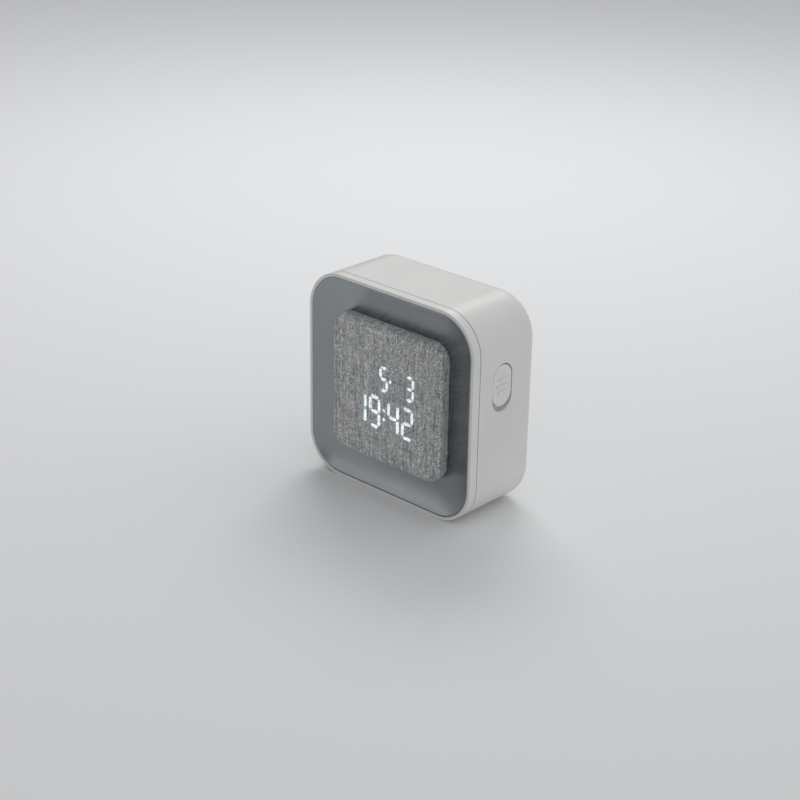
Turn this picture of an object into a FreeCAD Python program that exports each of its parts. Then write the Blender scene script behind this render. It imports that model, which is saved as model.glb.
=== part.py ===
import FreeCAD, Part
import math
import operator
import os
import Sketcher

# A talking clock: a rounded square case with a concave grey front and a cloth covered pad.
# Lengths are in millimetres. Each piece is drawn about the centre of the front rim plane,
# with x to the right, y from that plane to the rear and z up. Its Placement then stands it
# in the clock, whose origin is the centre of its footprint on the table.

SIZES = {
    # Case
    "case_width": 90.0,
    "case_height": 90.0,
    "case_depth": 39.0,
    "corner_radius": 17.3,
    "side_wall": 2.0,
    "rear_wall": 2.0,
    "rear_round": 6.0,
    "cut_overrun": 1.0,
    # Front bezel
    "rim_width": 1.4,
    "bezel_side": 3.9,
    "seam_width": 0.4,
    "seam_depth": 1.1,
    "spigot_length": 3.0,
    "spigot_clearance": 0.1,
    "ledge_width": 1.6,
    "rim_round": 0.25,
    # Grey dish panel
    "dish_recess": 0.3,
    "dish_clearance": 0.15,
    "dish_land": 0.5,
    "dish_seat": 3.7,
    "dish_depth": 3.2,
    "dish_thickness": 1.5,
    "connector_window_clearance": 0.6,
    # Cloth covered pad
    "pad_width": 59.8,
    "pad_proud": 2.2,
    "pad_corner": 7.6,
    "pad_round": 2.2,
    "cloth_thickness": 0.6,
    "carrier_wall": 1.6,
    "carrier_boss_radius": 2.6,
    # Digit display
    "display_width": 38.0,
    "display_height": 33.0,
    "display_drop": 0.6,
    "display_clearance": 0.15,
    "display_board_thickness": 1.2,
    "display_board_width": 41.0,
    "display_board_height": 36.0,
    "large_digit_height": 14.2,
    "large_digit_width": 6.4,
    "large_digit_pitch": 7.8,
    "large_row_drop": 7.5,
    "colon_spread": 3.9,
    "small_digit_height": 11.0,
    "small_digit_width": 4.8,
    "small_digit_pitch": 7.1,
    "small_row_rise": 8.1,
    "small_row_right": 13.9,
    "bar_width": 1.4,
    "bar_gap": 0.5,
    "dot_radius": 0.65,
    "led_size": 0.8,
    "led_height": 0.5,
    "connector_width": 24.0,
    "connector_thickness": 2.5,
    "connector_drop": 12.0,
    # Main board
    "board_thickness": 1.6,
    "board_width": 58.0,
    "board_height": 46.0,
    "board_screw_x": 26.0,
    "board_screw_z": 14.0,
    "board_rise": 1.6,
    "board_post_radius": 2.2,
    # Case and pad screws
    "case_screw_inset": 11.0,
    "case_screw_tube": 3.5,
    "case_screw_boss": 3.2,
    "case_screw_joint": 13.4,
    "case_screw_seat": 3.0,
    "case_screw_head": 2.2,
    "case_screw_head_height": 1.6,
    "case_screw_shank": 1.2,
    "case_screw_length": 9.0,
    "screw_clearance": 0.05,
    "head_clearance": 0.4,
    "pad_screw_x": 23.0,
    "pad_screw_z": 23.0,
    "small_screw_head": 1.9,
    "small_screw_head_height": 1.3,
    "small_screw_shank": 0.9,
    "small_screw_length": 5.0,
    "hole_clearance": 0.3,
    # Battery bay
    "cell_diameter": 10.5,
    "cell_length": 43.7,
    "cell_nub_length": 0.8,
    "cell_nub_radius": 1.9,
    "cell_gap": 0.3,
    "bay_clearance": 0.4,
    "bay_wall": 1.5,
    "bay_drop": 19.5,
    "spring_length": 4.4,
    "spring_wire": 0.5,
    "spring_radius": 3.0,
    "spring_turns": 4.0,
    "contact_thickness": 0.3,
    "contact_width": 8.0,
    # Battery door
    "door_thickness": 1.5,
    "door_ledge": 1.0,
    "door_gap": 0.2,
    "door_seat_gap": 0.1,
    "door_corner": 1.5,
    "tongue_width": 6.0,
    "tongue_spread": 15.0,
    "tongue_reach": 1.2,
    "tongue_thickness": 1.0,
    "latch_width": 9.0,
    "latch_slot": 0.8,
    "latch_length": 7.0,
    "finger_notch_width": 13.0,
    "finger_notch_height": 3.0,
    "finger_notch_depth": 1.0,
    # Loudspeaker
    "speaker_rise": 22.0,
    "speaker_radius": 14.0,
    "speaker_depth": 9.0,
    "speaker_ring_wall": 1.2,
    "speaker_ring_length": 4.0,
    "speaker_clearance": 0.2,
    "gasket_thickness": 0.6,
    "flange_thickness": 0.8,
    "basket_wall": 0.8,
    "cone_radius": 10.0,
    "cone_wall": 0.4,
    "coil_radius": 4.5,
    "coil_gap": 0.35,
    "magnet_radius": 7.0,
    "grille_hole_radius": 0.9,
    "grille_pitch": 3.3,
    # Rear buttons
    "button_offset": 25.5,
    "button_mid_rise": 21.5,
    "button_pitch": 13.0,
    "button_radius": 3.3,
    "button_clearance": 0.15,
    "button_flange_radius": 4.0,
    "button_flange_thickness": 1.1,
    "button_proud": 1.0,
    "button_travel": 0.8,
    "button_recess_depth": 1.2,
    "button_recess_width": 9.4,
    "button_backing": 1.0,
    "tact_width": 6.0,
    "tact_height": 3.1,
    "tact_plunger_radius": 1.6,
    "tact_plunger_length": 2.6,
    "key_board_width": 9.2,
    "key_board_height": 27.0,
    # Side slide switch
    "slide_back": 17.7,
    "slide_rise": 12.6,
    "slide_recess_width": 11.6,
    "slide_recess_height": 20.4,
    "slide_recess_depth": 2.6,
    "slide_backing": 1.8,
    "slider_width": 11.0,
    "slider_height": 17.6,
    "slider_top_gap": 0.5,
    "slider_travel": 2.0,
    "slider_sunk": 0.1,
    "slider_edge": 0.3,
    "slider_floor_gap": 0.2,
    "grip_width": 0.8,
    "grip_height": 0.4,
    "grip_pitch": 2.75,
    "grip_length": 6.8,
    "neck_width": 2.8,
    "neck_height": 5.6,
    "neck_clearance": 0.25,
    "clip_width": 7.0,
    "clip_height": 7.8,
    "clip_thickness": 1.2,
    "lever_size": 1.8,
    "switch_body_depth": 3.6,
    "switch_body_width": 3.8,
    "switch_body_height": 9.2,
    "switch_board_width": 12.0,
    "switch_board_height": 22.0,
    "switch_post_radius": 1.8,
    "switch_post_offset": 8.6,
    # Hook-up wires
    "lead_radius": 0.45,
    "lead_run": 5.0,
    "lead_pitch": 1.3,
    "lead_gap": 0.4,
}

document = FreeCAD.newDocument("talking_clock")
sheet = document.addObject("Spreadsheet::Sheet", "Sizes")
for row, (alias, number) in enumerate(SIZES.items(), 1):
    sheet.set("A%d" % row, alias)
    sheet.set("B%d" % row, str(number))
    sheet.setAlias("B%d" % row, alias)
document.recompute()


# A length that is known both as a number and as the sheet formula that gives it
class Size:
    def __init__(self, number, formula):
        self.number = number
        self.formula = formula

    def __add__(self, other):
        return joined(self, "+", other)

    def __radd__(self, other):
        return joined(other, "+", self)

    def __sub__(self, other):
        return joined(self, "-", other)

    def __rsub__(self, other):
        return joined(other, "-", self)

    def __mul__(self, other):
        return joined(self, "*", other)

    def __rmul__(self, other):
        return joined(other, "*", self)

    def __truediv__(self, other):
        return joined(self, "/", other)

    def __neg__(self):
        return joined(0.0, "-", self)

    def __float__(self):
        return self.number


SIGNS = {"+": operator.add, "-": operator.sub, "*": operator.mul, "/": operator.truediv}


def as_size(value):
    return value if isinstance(value, Size) else Size(float(value), "%.9f" % value)


def joined(left, sign, right):
    left = as_size(left)
    right = as_size(right)
    formula = "(%s %s %s)" % (left.formula, sign, right.formula)
    return Size(SIGNS[sign](left.number, right.number), formula)


class SheetSizes:
    def __getattr__(self, alias):
        return Size(float(sheet.get(alias)), "Sizes." + alias)


sizes = SheetSizes()
centre = Size(0.0, "0")


def bind(thing, path, size):
    thing.setExpression(path, as_size(size).formula)


# Planes that a sketch lies on, by the axis that they face
PLANE_ROLES = {"x": "YZ_Plane", "y": "XZ_Plane", "z": "XY_Plane"}
pieces = []


def new_piece(label):
    piece = document.addObject("PartDesign::Body", label)
    piece.Label = label
    place_piece(piece)
    return piece


# The rim plane stands in front of the middle of the depth, at half the case's height.
def place_piece(piece):
    bind(piece, "Placement.Base.y", (sizes.pad_proud - sizes.case_depth) / 2)
    bind(piece, "Placement.Base.z", sizes.case_height / 2)
    pieces.append(piece)


def new_sketch(piece, name, axis, place):
    roles = {feature.Role: feature for feature in piece.Origin.OriginFeatures}
    sketch = piece.newObject("Sketcher::SketchObject", name)
    sketch.AttachmentSupport = [(roles[PLANE_ROLES[axis]], "")]
    sketch.MapMode = "FlatFace"
    bind(sketch, "AttachmentOffset.Base.z", -as_size(place) if axis == "y" else place)
    return sketch


def constrain(sketch, kind, *parts):
    datum = parts[-1]
    index = sketch.addConstraint(Sketcher.Constraint(kind, *parts[:-1], datum.number))
    sketch.setExpression("Constraints[%d]" % index, datum.formula)


# Each drawer returns a function that adds one closed outline to a sketch.
def rounded(across, up, width, height, radius):
    across, up, width, height, radius = map(as_size, (across, up, width, height, radius))

    def draw(sketch):
        left, right = float(across - width / 2), float(across + width / 2)
        low, high = float(up - height / 2), float(up + height / 2)
        turn = radius.number
        quarter = math.pi / 2
        corners = [
            (right - turn, low + turn, -quarter),
            (right - turn, high - turn, 0.0),
            (left + turn, high - turn, quarter),
            (left + turn, low + turn, 2 * quarter),
        ]
        starts = [(left + turn, low), (right, low + turn), (right - turn, high), (left, high - turn)]
        ends = [(right - turn, low), (right, high - turn), (left + turn, high), (left, low + turn)]
        sides, arcs = [], []
        for (x, z, angle), start, end in zip(corners, starts, ends):
            side = Part.LineSegment(FreeCAD.Vector(*start, 0), FreeCAD.Vector(*end, 0))
            circle = Part.Circle(FreeCAD.Vector(x, z, 0), FreeCAD.Vector(0, 0, 1), turn)
            sides.append(sketch.addGeometry(side, False))
            arcs.append(sketch.addGeometry(Part.ArcOfCircle(circle, angle, angle + quarter), False))
        for index in range(4):
            sketch.addConstraint(Sketcher.Constraint("Tangent", sides[index], 2, arcs[index], 1))
            following = sides[(index + 1) % 4]
            sketch.addConstraint(Sketcher.Constraint("Tangent", arcs[index], 2, following, 1))
            direction = "Horizontal" if index % 2 == 0 else "Vertical"
            sketch.addConstraint(Sketcher.Constraint(direction, sides[index]))
        for arc in arcs[1:]:
            sketch.addConstraint(Sketcher.Constraint("Equal", arcs[0], arc))
        constrain(sketch, "Radius", arcs[0], radius)
        constrain(sketch, "DistanceX", -1, 1, sides[1], 1, across + width / 2)
        constrain(sketch, "DistanceX", -1, 1, sides[3], 1, across - width / 2)
        constrain(sketch, "DistanceY", -1, 1, sides[2], 1, up + height / 2)
        constrain(sketch, "DistanceY", -1, 1, sides[0], 1, up - height / 2)

    return draw


def disc(across, up, radius):
    across, up, radius = map(as_size, (across, up, radius))

    def draw(sketch):
        spot = FreeCAD.Vector(across.number, up.number, 0)
        circle = Part.Circle(spot, FreeCAD.Vector(0, 0, 1), radius.number)
        index = sketch.addGeometry(circle, False)
        constrain(sketch, "Radius", index, radius)
        constrain(sketch, "DistanceX", -1, 1, index, 3, across)
        constrain(sketch, "DistanceY", -1, 1, index, 3, up)

    return draw


def outline(*points):
    points = [(as_size(across), as_size(up)) for across, up in points]

    def draw(sketch):
        spots = [FreeCAD.Vector(across.number, up.number, 0) for across, up in points]
        count = len(spots)
        lines = []
        for index in range(count):
            segment = Part.LineSegment(spots[index], spots[(index + 1) % count])
            lines.append(sketch.addGeometry(segment, False))
        for index in range(count):
            following = lines[(index + 1) % count]
            sketch.addConstraint(Sketcher.Constraint("Coincident", lines[index], 2, following, 1))
        for line, (across, up) in zip(lines, points):
            constrain(sketch, "DistanceX", -1, 1, line, 1, across)
            constrain(sketch, "DistanceY", -1, 1, line, 1, up)

    return draw


def box(across, up, width, height):
    across, up, width, height = map(as_size, (across, up, width, height))
    left, right = across - width / 2, across + width / 2
    low, high = up - height / 2, up + height / 2
    return outline((left, low), (right, low), (right, high), (left, high))


# An obround stands upright: two flats joined by half circles.
def obround(across, up, width, height):
    across, up, width, height = map(as_size, (across, up, width, height))

    def draw(sketch):
        turn = width.number / 2
        rise = float(height - width) / 2
        x, z = across.number, up.number
        facing = FreeCAD.Vector(0, 0, 1)
        top = Part.Circle(FreeCAD.Vector(x, z + rise, 0), facing, turn)
        bottom = Part.Circle(FreeCAD.Vector(x, z - rise, 0), facing, turn)
        shapes = [
            Part.LineSegment(FreeCAD.Vector(x + turn, z - rise, 0), FreeCAD.Vector(x + turn, z + rise, 0)),
            Part.ArcOfCircle(top, 0.0, math.pi),
            Part.LineSegment(FreeCAD.Vector(x - turn, z + rise, 0), FreeCAD.Vector(x - turn, z - rise, 0)),
            Part.ArcOfCircle(bottom, math.pi, 2 * math.pi),
        ]
        side, cap, other, base = [sketch.addGeometry(shape, False) for shape in shapes]
        for first, second in ((side, cap), (cap, other), (other, base), (base, side)):
            sketch.addConstraint(Sketcher.Constraint("Tangent", first, 2, second, 1))
        sketch.addConstraint(Sketcher.Constraint("Vertical", side))
        constrain(sketch, "Radius", cap, width / 2)
        constrain(sketch, "DistanceX", -1, 1, cap, 3, across)
        constrain(sketch, "DistanceY", -1, 1, cap, 3, up + (height - width) / 2)
        constrain(sketch, "DistanceY", -1, 1, base, 3, up - (height - width) / 2)

    return draw


def solid_volume(piece):
    document.recompute()
    return 0.0 if piece.Shape.isNull() else piece.Shape.Volume


# Adds the outlines as a block from start to end along the axis.
def add(piece, name, axis, start, end, *drawers):
    sketch = new_sketch(piece, name + "_sketch", axis, start)
    for draw in drawers:
        draw(sketch)
    block = piece.newObject("PartDesign::Pad", name)
    block.Profile = sketch
    block.Reversed = axis == "y"
    bind(block, "Length", as_size(end) - start)
    document.recompute()
    return block


# Cuts the outlines away from start to end along the axis.
def cut(piece, name, axis, start, end, *drawers):
    before = solid_volume(piece)
    sketch = new_sketch(piece, name + "_sketch", axis, start)
    for draw in drawers:
        draw(sketch)
    pocket = piece.newObject("PartDesign::Pocket", name)
    pocket.Profile = sketch
    pocket.Reversed = axis != "y"
    bind(pocket, "Length", as_size(end) - start)
    if solid_volume(piece) >= before:
        raise ValueError("%s cuts nothing from %s" % (name, piece.Label))
    return pocket


def spin(piece, name, height, *drawers):
    sketch = new_sketch(piece, name + "_sketch", "z", height)
    for draw in drawers:
        draw(sketch)
    turned = piece.newObject("PartDesign::Revolution", name)
    turned.Profile = sketch
    turned.ReferenceAxis = (sketch, ["V_Axis"])
    turned.Angle = 360.0
    document.recompute()
    return turned


def loft(piece, name, kind, sections, ruled):
    sketches = []
    for index, (place, draw) in enumerate(sections):
        sketch = new_sketch(piece, "%s_section_%d" % (name, index), "y", place)
        draw(sketch)
        sketches.append(sketch)
    feature = piece.newObject(kind, name)
    feature.Profile = sketches[0]
    feature.Sections = sketches[1:]
    feature.Ruled = ruled
    document.recompute()
    return feature


# Rounds every edge of the last feature whose ends and middle pass the test.
def round_edges(piece, name, radius, test):
    document.recompute()
    base = piece.Tip
    names = []
    for index, edge in enumerate(base.Shape.Edges, 1):
        middle = edge.valueAt((edge.FirstParameter + edge.LastParameter) / 2)
        if all(test(vertex.Point) for vertex in edge.Vertexes) and test(middle):
            names.append("Edge%d" % index)
    fillet = piece.newObject("PartDesign::Fillet", name)
    fillet.Base = (base, names)
    bind(fillet, "Radius", radius)
    document.recompute()
    return fillet


def near(first, second):
    return math.isclose(float(first), float(second), abs_tol=float(sizes.seam_width) / 100)


# Shared planes and outlines, all measured from the rim plane
rear_plane = sizes.case_depth
rear_inside = rear_plane - sizes.rear_wall
seam_front = sizes.bezel_side
seam_rear = sizes.bezel_side + sizes.seam_width
dish_floor = sizes.dish_recess + sizes.dish_depth
dish_rear = dish_floor + sizes.dish_thickness
pad_face = -sizes.pad_proud
carrier_face = pad_face + sizes.cloth_thickness
board_front = dish_rear + sizes.board_thickness
board_rear = board_front + sizes.board_thickness


# The case's outline drawn in by an inset, with its corner drawn in alike
def case_outline(inset):
    width = sizes.case_width - 2 * inset
    height = sizes.case_height - 2 * inset
    return rounded(centre, centre, width, height, sizes.corner_radius - inset)


def four_corners(across, up):
    return [(across * x, up * z) for x in (1, -1) for z in (1, -1)]


case_screws = four_corners(
    sizes.case_width / 2 - sizes.case_screw_inset, sizes.case_height / 2 - sizes.case_screw_inset
)
pad_screws = four_corners(sizes.pad_screw_x, sizes.pad_screw_z)
board_screws = [
    (x, z + sizes.board_rise) for x, z in four_corners(sizes.board_screw_x, sizes.board_screw_z)
]


# Front bezel: the white rim, a step that makes the shadow line and a spigot into the housing
def make_front_bezel():
    piece = new_piece("front_bezel")
    opening = sizes.rim_width
    add(piece, "rim", "y", centre, seam_front, case_outline(centre), case_outline(opening))
    add(piece, "step", "y", seam_front, seam_rear, case_outline(sizes.seam_depth), case_outline(opening))
    ledge_inner = opening + sizes.ledge_width
    add(
        piece, "ledge", "y", sizes.dish_seat, seam_rear,
        case_outline(sizes.seam_depth), case_outline(ledge_inner),
    )
    spigot_outer = sizes.side_wall + sizes.spigot_clearance
    spigot_end = seam_rear + sizes.spigot_length
    add(
        piece, "spigot", "y", sizes.dish_seat, spigot_end,
        case_outline(spigot_outer), case_outline(ledge_inner),
    )
    round_edges(piece, "rim_edges", sizes.rim_round, lambda point: near(point.y, 0))


# Shares of the way in from the dish's edge to the pad, at which a section is drawn
FRONT_SECTION_SHARES = (0.0, 0.2, 0.4, 0.6, 0.8, 1.0)
# The same for the rear face, each with its wall as a share of the floor's thickness
REAR_SECTION_SHARES = ((0.3, 1.7), (0.6, 1.2), (1.0, 1.0))
REAR_SKIRT_SHARE = 0.6


# The dish's hollow falls along half a parabola, steepest at the rim and flat at the pad.
def dish_fall(share):
    return 1.0 - (1.0 - share) ** 2


def dish_section(share):
    edge = sizes.rim_width + sizes.dish_clearance + sizes.dish_land
    run_across = (sizes.case_width - sizes.pad_width) / 2 - edge
    run_up = (sizes.case_height - sizes.pad_width) / 2 - edge
    edge_radius = sizes.corner_radius - edge
    radius = edge_radius - (edge_radius - sizes.pad_corner) * share
    width = sizes.case_width - 2 * edge - 2 * run_across * share
    height = sizes.case_height - 2 * edge - 2 * run_up * share
    return rounded(centre, centre, width, height, radius)


# Dish panel: a concave tray seated on the bezel's ledge, with the pad on its flat floor
def make_dish_panel():
    piece = new_piece("dish_panel")
    skirt = sizes.rim_width + sizes.dish_clearance
    inner_skirt = sizes.rim_width + sizes.ledge_width + sizes.dish_clearance
    skirt_end = sizes.dish_seat + sizes.dish_thickness * REAR_SKIRT_SHARE
    add(piece, "skirt", "y", sizes.dish_recess, sizes.dish_seat, case_outline(skirt))
    sections = [(sizes.dish_seat, case_outline(inner_skirt)), (skirt_end, case_outline(inner_skirt))]
    for share, wall_share in REAR_SECTION_SHARES:
        fall = sizes.dish_recess + sizes.dish_depth * dish_fall(share)
        sections.append((fall + sizes.dish_thickness * wall_share, dish_section(share)))
    loft(piece, "back", "PartDesign::AdditiveLoft", sections, True)
    bosses = [disc(x, z, sizes.case_screw_boss) for x, z in case_screws]
    add(piece, "case_bosses", "y", dish_floor, sizes.case_screw_joint, *bosses)
    posts = [disc(x, z, sizes.board_post_radius) for x, z in board_screws]
    add(piece, "board_posts", "y", dish_floor, board_front, *posts)
    hollow = []
    for share in FRONT_SECTION_SHARES:
        fall = sizes.dish_recess + sizes.dish_depth * dish_fall(share)
        hollow.append((fall, dish_section(share)))
    loft(piece, "hollow", "PartDesign::SubtractiveLoft", hollow, False)
    window_width = sizes.connector_width + 2 * sizes.connector_window_clearance
    window_height = sizes.connector_thickness + 2 * sizes.connector_window_clearance
    cut(
        piece, "connector_window", "y", dish_floor - sizes.cut_overrun, dish_rear + sizes.cut_overrun,
        box(centre, -sizes.connector_drop, window_width, window_height),
    )
    pad_hole = sizes.small_screw_shank + sizes.hole_clearance
    pad_holes = [disc(x, z, pad_hole) for x, z in pad_screws]
    cut(piece, "pad_screw_holes", "y", dish_floor, dish_rear + sizes.cut_overrun, *pad_holes)
    case_pilot = sizes.case_screw_shank + sizes.screw_clearance
    case_pilots = [disc(x, z, case_pilot) for x, z in case_screws]
    pilot_end = sizes.case_screw_joint + sizes.case_screw_seat - sizes.case_screw_length
    pilot_bottom = pilot_end - sizes.head_clearance
    cut(piece, "case_pilots", "y", pilot_bottom, sizes.case_screw_joint + sizes.cut_overrun, *case_pilots)
    board_pilot = sizes.small_screw_shank + sizes.screw_clearance
    board_pilots = [disc(x, z, board_pilot) for x, z in board_screws]
    pilot_bottom = dish_rear - sizes.dish_thickness * 2 / 3
    cut(piece, "board_pilots", "y", pilot_bottom, board_front + sizes.cut_overrun, *board_pilots)


# Rounded square outlines of the pad, drawn in by an inset
def pad_outline(inset):
    width = sizes.pad_width - 2 * inset
    return rounded(centre, centre, width, width, sizes.pad_corner - inset)


# Pad carrier: a tray with a window for the display, held by four screws from behind the dish
def make_pad_carrier():
    piece = new_piece("pad_carrier")
    cloth = sizes.cloth_thickness
    add(piece, "tray", "y", carrier_face, dish_floor, pad_outline(cloth))
    round_edges(
        piece, "front_edge", sizes.pad_round - cloth, lambda point: near(point.y, carrier_face)
    )
    inside = carrier_face + sizes.carrier_wall
    hollow = pad_outline(cloth + sizes.carrier_wall)
    cut(piece, "hollow", "y", inside, dish_floor + sizes.cut_overrun, hollow)
    bosses = [disc(x, z, sizes.carrier_boss_radius) for x, z in pad_screws]
    add(piece, "bosses", "y", inside, dish_floor, *bosses)
    pilots = [disc(x, z, sizes.small_screw_shank + sizes.screw_clearance) for x, z in pad_screws]
    cut(piece, "pilots", "y", inside - sizes.head_clearance, dish_floor + sizes.cut_overrun, *pilots)
    width = sizes.display_width + 2 * sizes.display_clearance
    height = sizes.display_height + 2 * sizes.display_clearance
    window = box(centre, -sizes.display_drop, width, height)
    cut(piece, "window", "y", carrier_face - sizes.cut_overrun, inside + sizes.cut_overrun, window)


# Cloth cover: woven cloth stretched over the carrier and folded in at its foot
def make_fabric_cover():
    piece = new_piece("fabric_cover")
    cloth = sizes.cloth_thickness
    add(piece, "outside", "y", pad_face, dish_floor, pad_outline(centre))
    round_edges(piece, "outer_edge", sizes.pad_round, lambda point: near(point.y, pad_face))
    base = piece.Tip
    foot = max(range(len(base.Shape.Faces)), key=lambda index: base.Shape.Faces[index].CenterOfMass.y)
    skin = piece.newObject("PartDesign::Thickness", "skin")
    skin.Base = (base, ["Face%d" % (foot + 1)])
    skin.Reversed = True
    bind(skin, "Value", cloth)
    document.recompute()


# The seven bars of a digit: each is named by its place as shares of the digit's half width
# and half height, and whether it lies flat.
BAR_SHARES = (
    (0.0, 1.0, True), (1.0, 0.5, False), (1.0, -0.5, False), (0.0, -1.0, True),
    (-1.0, -0.5, False), (-1.0, 0.5, False), (0.0, 0.0, True),
)


# A bar with pointed ends, as a flat face at the given depth
def bar_face(x, z, length, width, flat, depth):
    half, tip = length / 2, width / 2
    corners = [(-half, 0.0), (tip - half, tip), (half - tip, tip)]
    corners += [(-along, -side) for along, side in corners]
    points = []
    for along, side in corners:
        place = (x + along, depth, z + side) if flat else (x + side, depth, z + along)
        points.append(FreeCAD.Vector(*place))
    return Part.Face(Part.makePolygon(points + points[:1]))


def digit_faces(x, z, width, height, depth):
    bar = float(sizes.bar_width) * math.sqrt(height / float(sizes.large_digit_height))
    gap = float(sizes.bar_gap)
    across, up = (width - bar) / 2, (height - bar) / 2
    faces = []
    for across_share, up_share, flat in BAR_SHARES:
        length = (2 * across if flat else up) - gap
        faces.append(
            bar_face(x + across * across_share, z + up * up_share, length, bar, flat, depth)
        )
    return faces


def dot_face(x, z, depth):
    circle = Part.Circle(FreeCAD.Vector(x, depth, z), FreeCAD.Vector(0, 1, 0), float(sizes.dot_radius))
    return Part.Face(Part.Wire(circle.toShape()))


LARGE_COLUMNS = (-2, -1, 1, 2)
SMALL_COLUMNS = (3, 2, 1, 0)


# Column places: the large digits stand in two pairs, so the inner ones lie nearer the middle.
def large_column(column):
    pitch = float(sizes.large_digit_pitch)
    inner = (float(sizes.large_digit_width) + pitch) / 2 - pitch / 4
    return math.copysign(inner + (abs(column) - 1) * pitch, column)


def display_faces(depth):
    faces = []
    low = -float(sizes.large_row_drop)
    for column in LARGE_COLUMNS:
        faces += digit_faces(
            large_column(column), low, float(sizes.large_digit_width),
            float(sizes.large_digit_height), depth,
        )
    spread = float(sizes.colon_spread)
    faces += [dot_face(0.0, low + spread / 2, depth), dot_face(0.0, low - spread / 2, depth)]
    high = float(sizes.small_row_rise)
    right, pitch = float(sizes.small_row_right), float(sizes.small_digit_pitch)
    for column in SMALL_COLUMNS:
        faces += digit_faces(
            right - column * pitch, high, float(sizes.small_digit_width),
            float(sizes.small_digit_height), depth,
        )
    between = right - (SMALL_COLUMNS[1] - 1 / 2) * pitch
    faces.append(dot_face(between, high, depth))
    return faces


def new_shape_piece(label, shape):
    piece = document.addObject("Part::Feature", label)
    piece.Label = label
    piece.Shape = shape
    place_piece(piece)
    return piece


def extruded(faces, length):
    return [face.extrude(FreeCAD.Vector(0, length, 0)) for face in faces]


# Display block: a moulded reflector with a well for each bar of the digits
def make_display():
    front = float(carrier_face)
    board_face = float(dish_floor - sizes.display_board_thickness)
    depth = board_face - front
    width, height = float(sizes.display_width), float(sizes.display_height)
    low = -float(sizes.display_drop) - height / 2
    corner = FreeCAD.Vector(-width / 2, front, low)
    block = Part.makeBox(width, depth, height, corner)
    wells = Part.makeCompound(extruded(display_faces(front), depth))
    new_shape_piece("display_block", block.cut(wells))

    # Light guides: clear bars that fill the wells down to just above the lamp chips
    led_height = float(sizes.led_height)
    guide_length = depth - led_height - float(sizes.display_clearance)
    new_shape_piece("light_guides", Part.makeCompound(extruded(display_faces(front), guide_length)))

    # Lamp chips: one at the foot of each well
    side = float(sizes.led_size)
    chips = []
    for face in display_faces(board_face - led_height):
        middle = face.CenterOfMass
        foot = FreeCAD.Vector(middle.x - side / 2, middle.y, middle.z - side / 2)
        chips.append(Part.makeBox(side, led_height, side, foot))
    new_shape_piece("led_chips", Part.makeCompound(chips))

    board = new_piece("display_board")
    drop = -sizes.display_drop
    add(
        board, "board", "y", dish_floor - sizes.display_board_thickness, dish_floor,
        box(centre, drop, sizes.display_board_width, sizes.display_board_height),
    )

    connector = new_piece("display_connector")
    add(
        connector, "bar", "y", dish_floor, board_front,
        box(centre, -sizes.connector_drop, sizes.connector_width, sizes.connector_thickness),
    )


# Parts on the main board, as shares of its half width and half height: across, up,
# width, height, and how far they stand off as a share of the voice chip's height
CHIP_SHARES = (
    (0.05, 0.05, 0.42, 0.42, 0.8), (-0.55, 0.3, 0.16, 0.5, 1.0), (0.62, 0.25, 0.2, 0.2, 1.0),
    (-0.5, -0.62, 0.3, 0.2, 0.7), (0.45, -0.62, 0.34, 0.2, 0.7),
)


# Main board: the clock and voice circuit, screwed to posts behind the dish
def make_main_board():
    board = new_piece("main_board")
    add(
        board, "board", "y", board_front, board_rear,
        box(centre, sizes.board_rise, sizes.board_width, sizes.board_height),
    )
    holes = [disc(x, z, sizes.small_screw_shank + sizes.hole_clearance) for x, z in board_screws]
    cut(board, "holes", "y", board_front - sizes.cut_overrun, board_rear + sizes.cut_overrun, *holes)

    chips = new_piece("board_components")
    half_width, half_height = sizes.board_width / 2, sizes.board_height / 2
    for index, (across, up, width, height, stand) in enumerate(CHIP_SHARES):
        place = box(
            half_width * across, sizes.board_rise + half_height * up, half_width * width,
            half_height * height,
        )
        end = board_rear + sizes.board_thickness * stand
        add(chips, "chip_%d" % index, "y", board_rear, end, place)


# Battery bay values, about the bay's middle
bay_middle = -sizes.bay_drop
spring_room = sizes.spring_length + 2 * sizes.contact_thickness + sizes.cell_gap
bay_length = sizes.cell_length + sizes.cell_nub_length + spring_room
bay_height = 3 * sizes.cell_diameter + 2 * sizes.cell_gap + 2 * sizes.bay_clearance
door_inside = rear_plane - sizes.door_thickness
bay_floor = door_inside - sizes.cell_diameter - 2 * sizes.bay_clearance
cell_pitch = sizes.cell_diameter + sizes.cell_gap
cell_axis = bay_floor + sizes.bay_clearance + sizes.cell_diameter / 2
door_width = bay_length + 2 * sizes.door_ledge
door_height = bay_height + 2 * sizes.door_ledge
door_low = bay_middle - door_height / 2
door_top = bay_middle + door_height / 2
door_seat = door_inside - sizes.door_seat_gap
tongue_front = door_inside - sizes.door_thickness * 1.25
tongue_places = (-sizes.tongue_spread, sizes.tongue_spread)


def cell_rise(index):
    return bay_middle + cell_pitch * (1 - index)


# Button and speaker values
basket_floor = rear_inside - sizes.speaker_depth * 0.6
basket_back = basket_floor - sizes.basket_wall
button_rises = (
    sizes.button_mid_rise + sizes.button_pitch / 2, sizes.button_mid_rise - sizes.button_pitch / 2
)
button_recess_floor = rear_plane - sizes.button_recess_depth
button_inside = rear_inside - sizes.button_backing
button_flange_rear = button_inside - sizes.door_seat_gap
button_flange_front = button_flange_rear - sizes.button_flange_thickness
key_board_rear = button_flange_front - sizes.button_travel - sizes.door_seat_gap - sizes.tact_height
key_board_front = key_board_rear - sizes.display_board_thickness
GRILLE_RINGS = ((1, 6), (2, 12), (3, 18))

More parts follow.
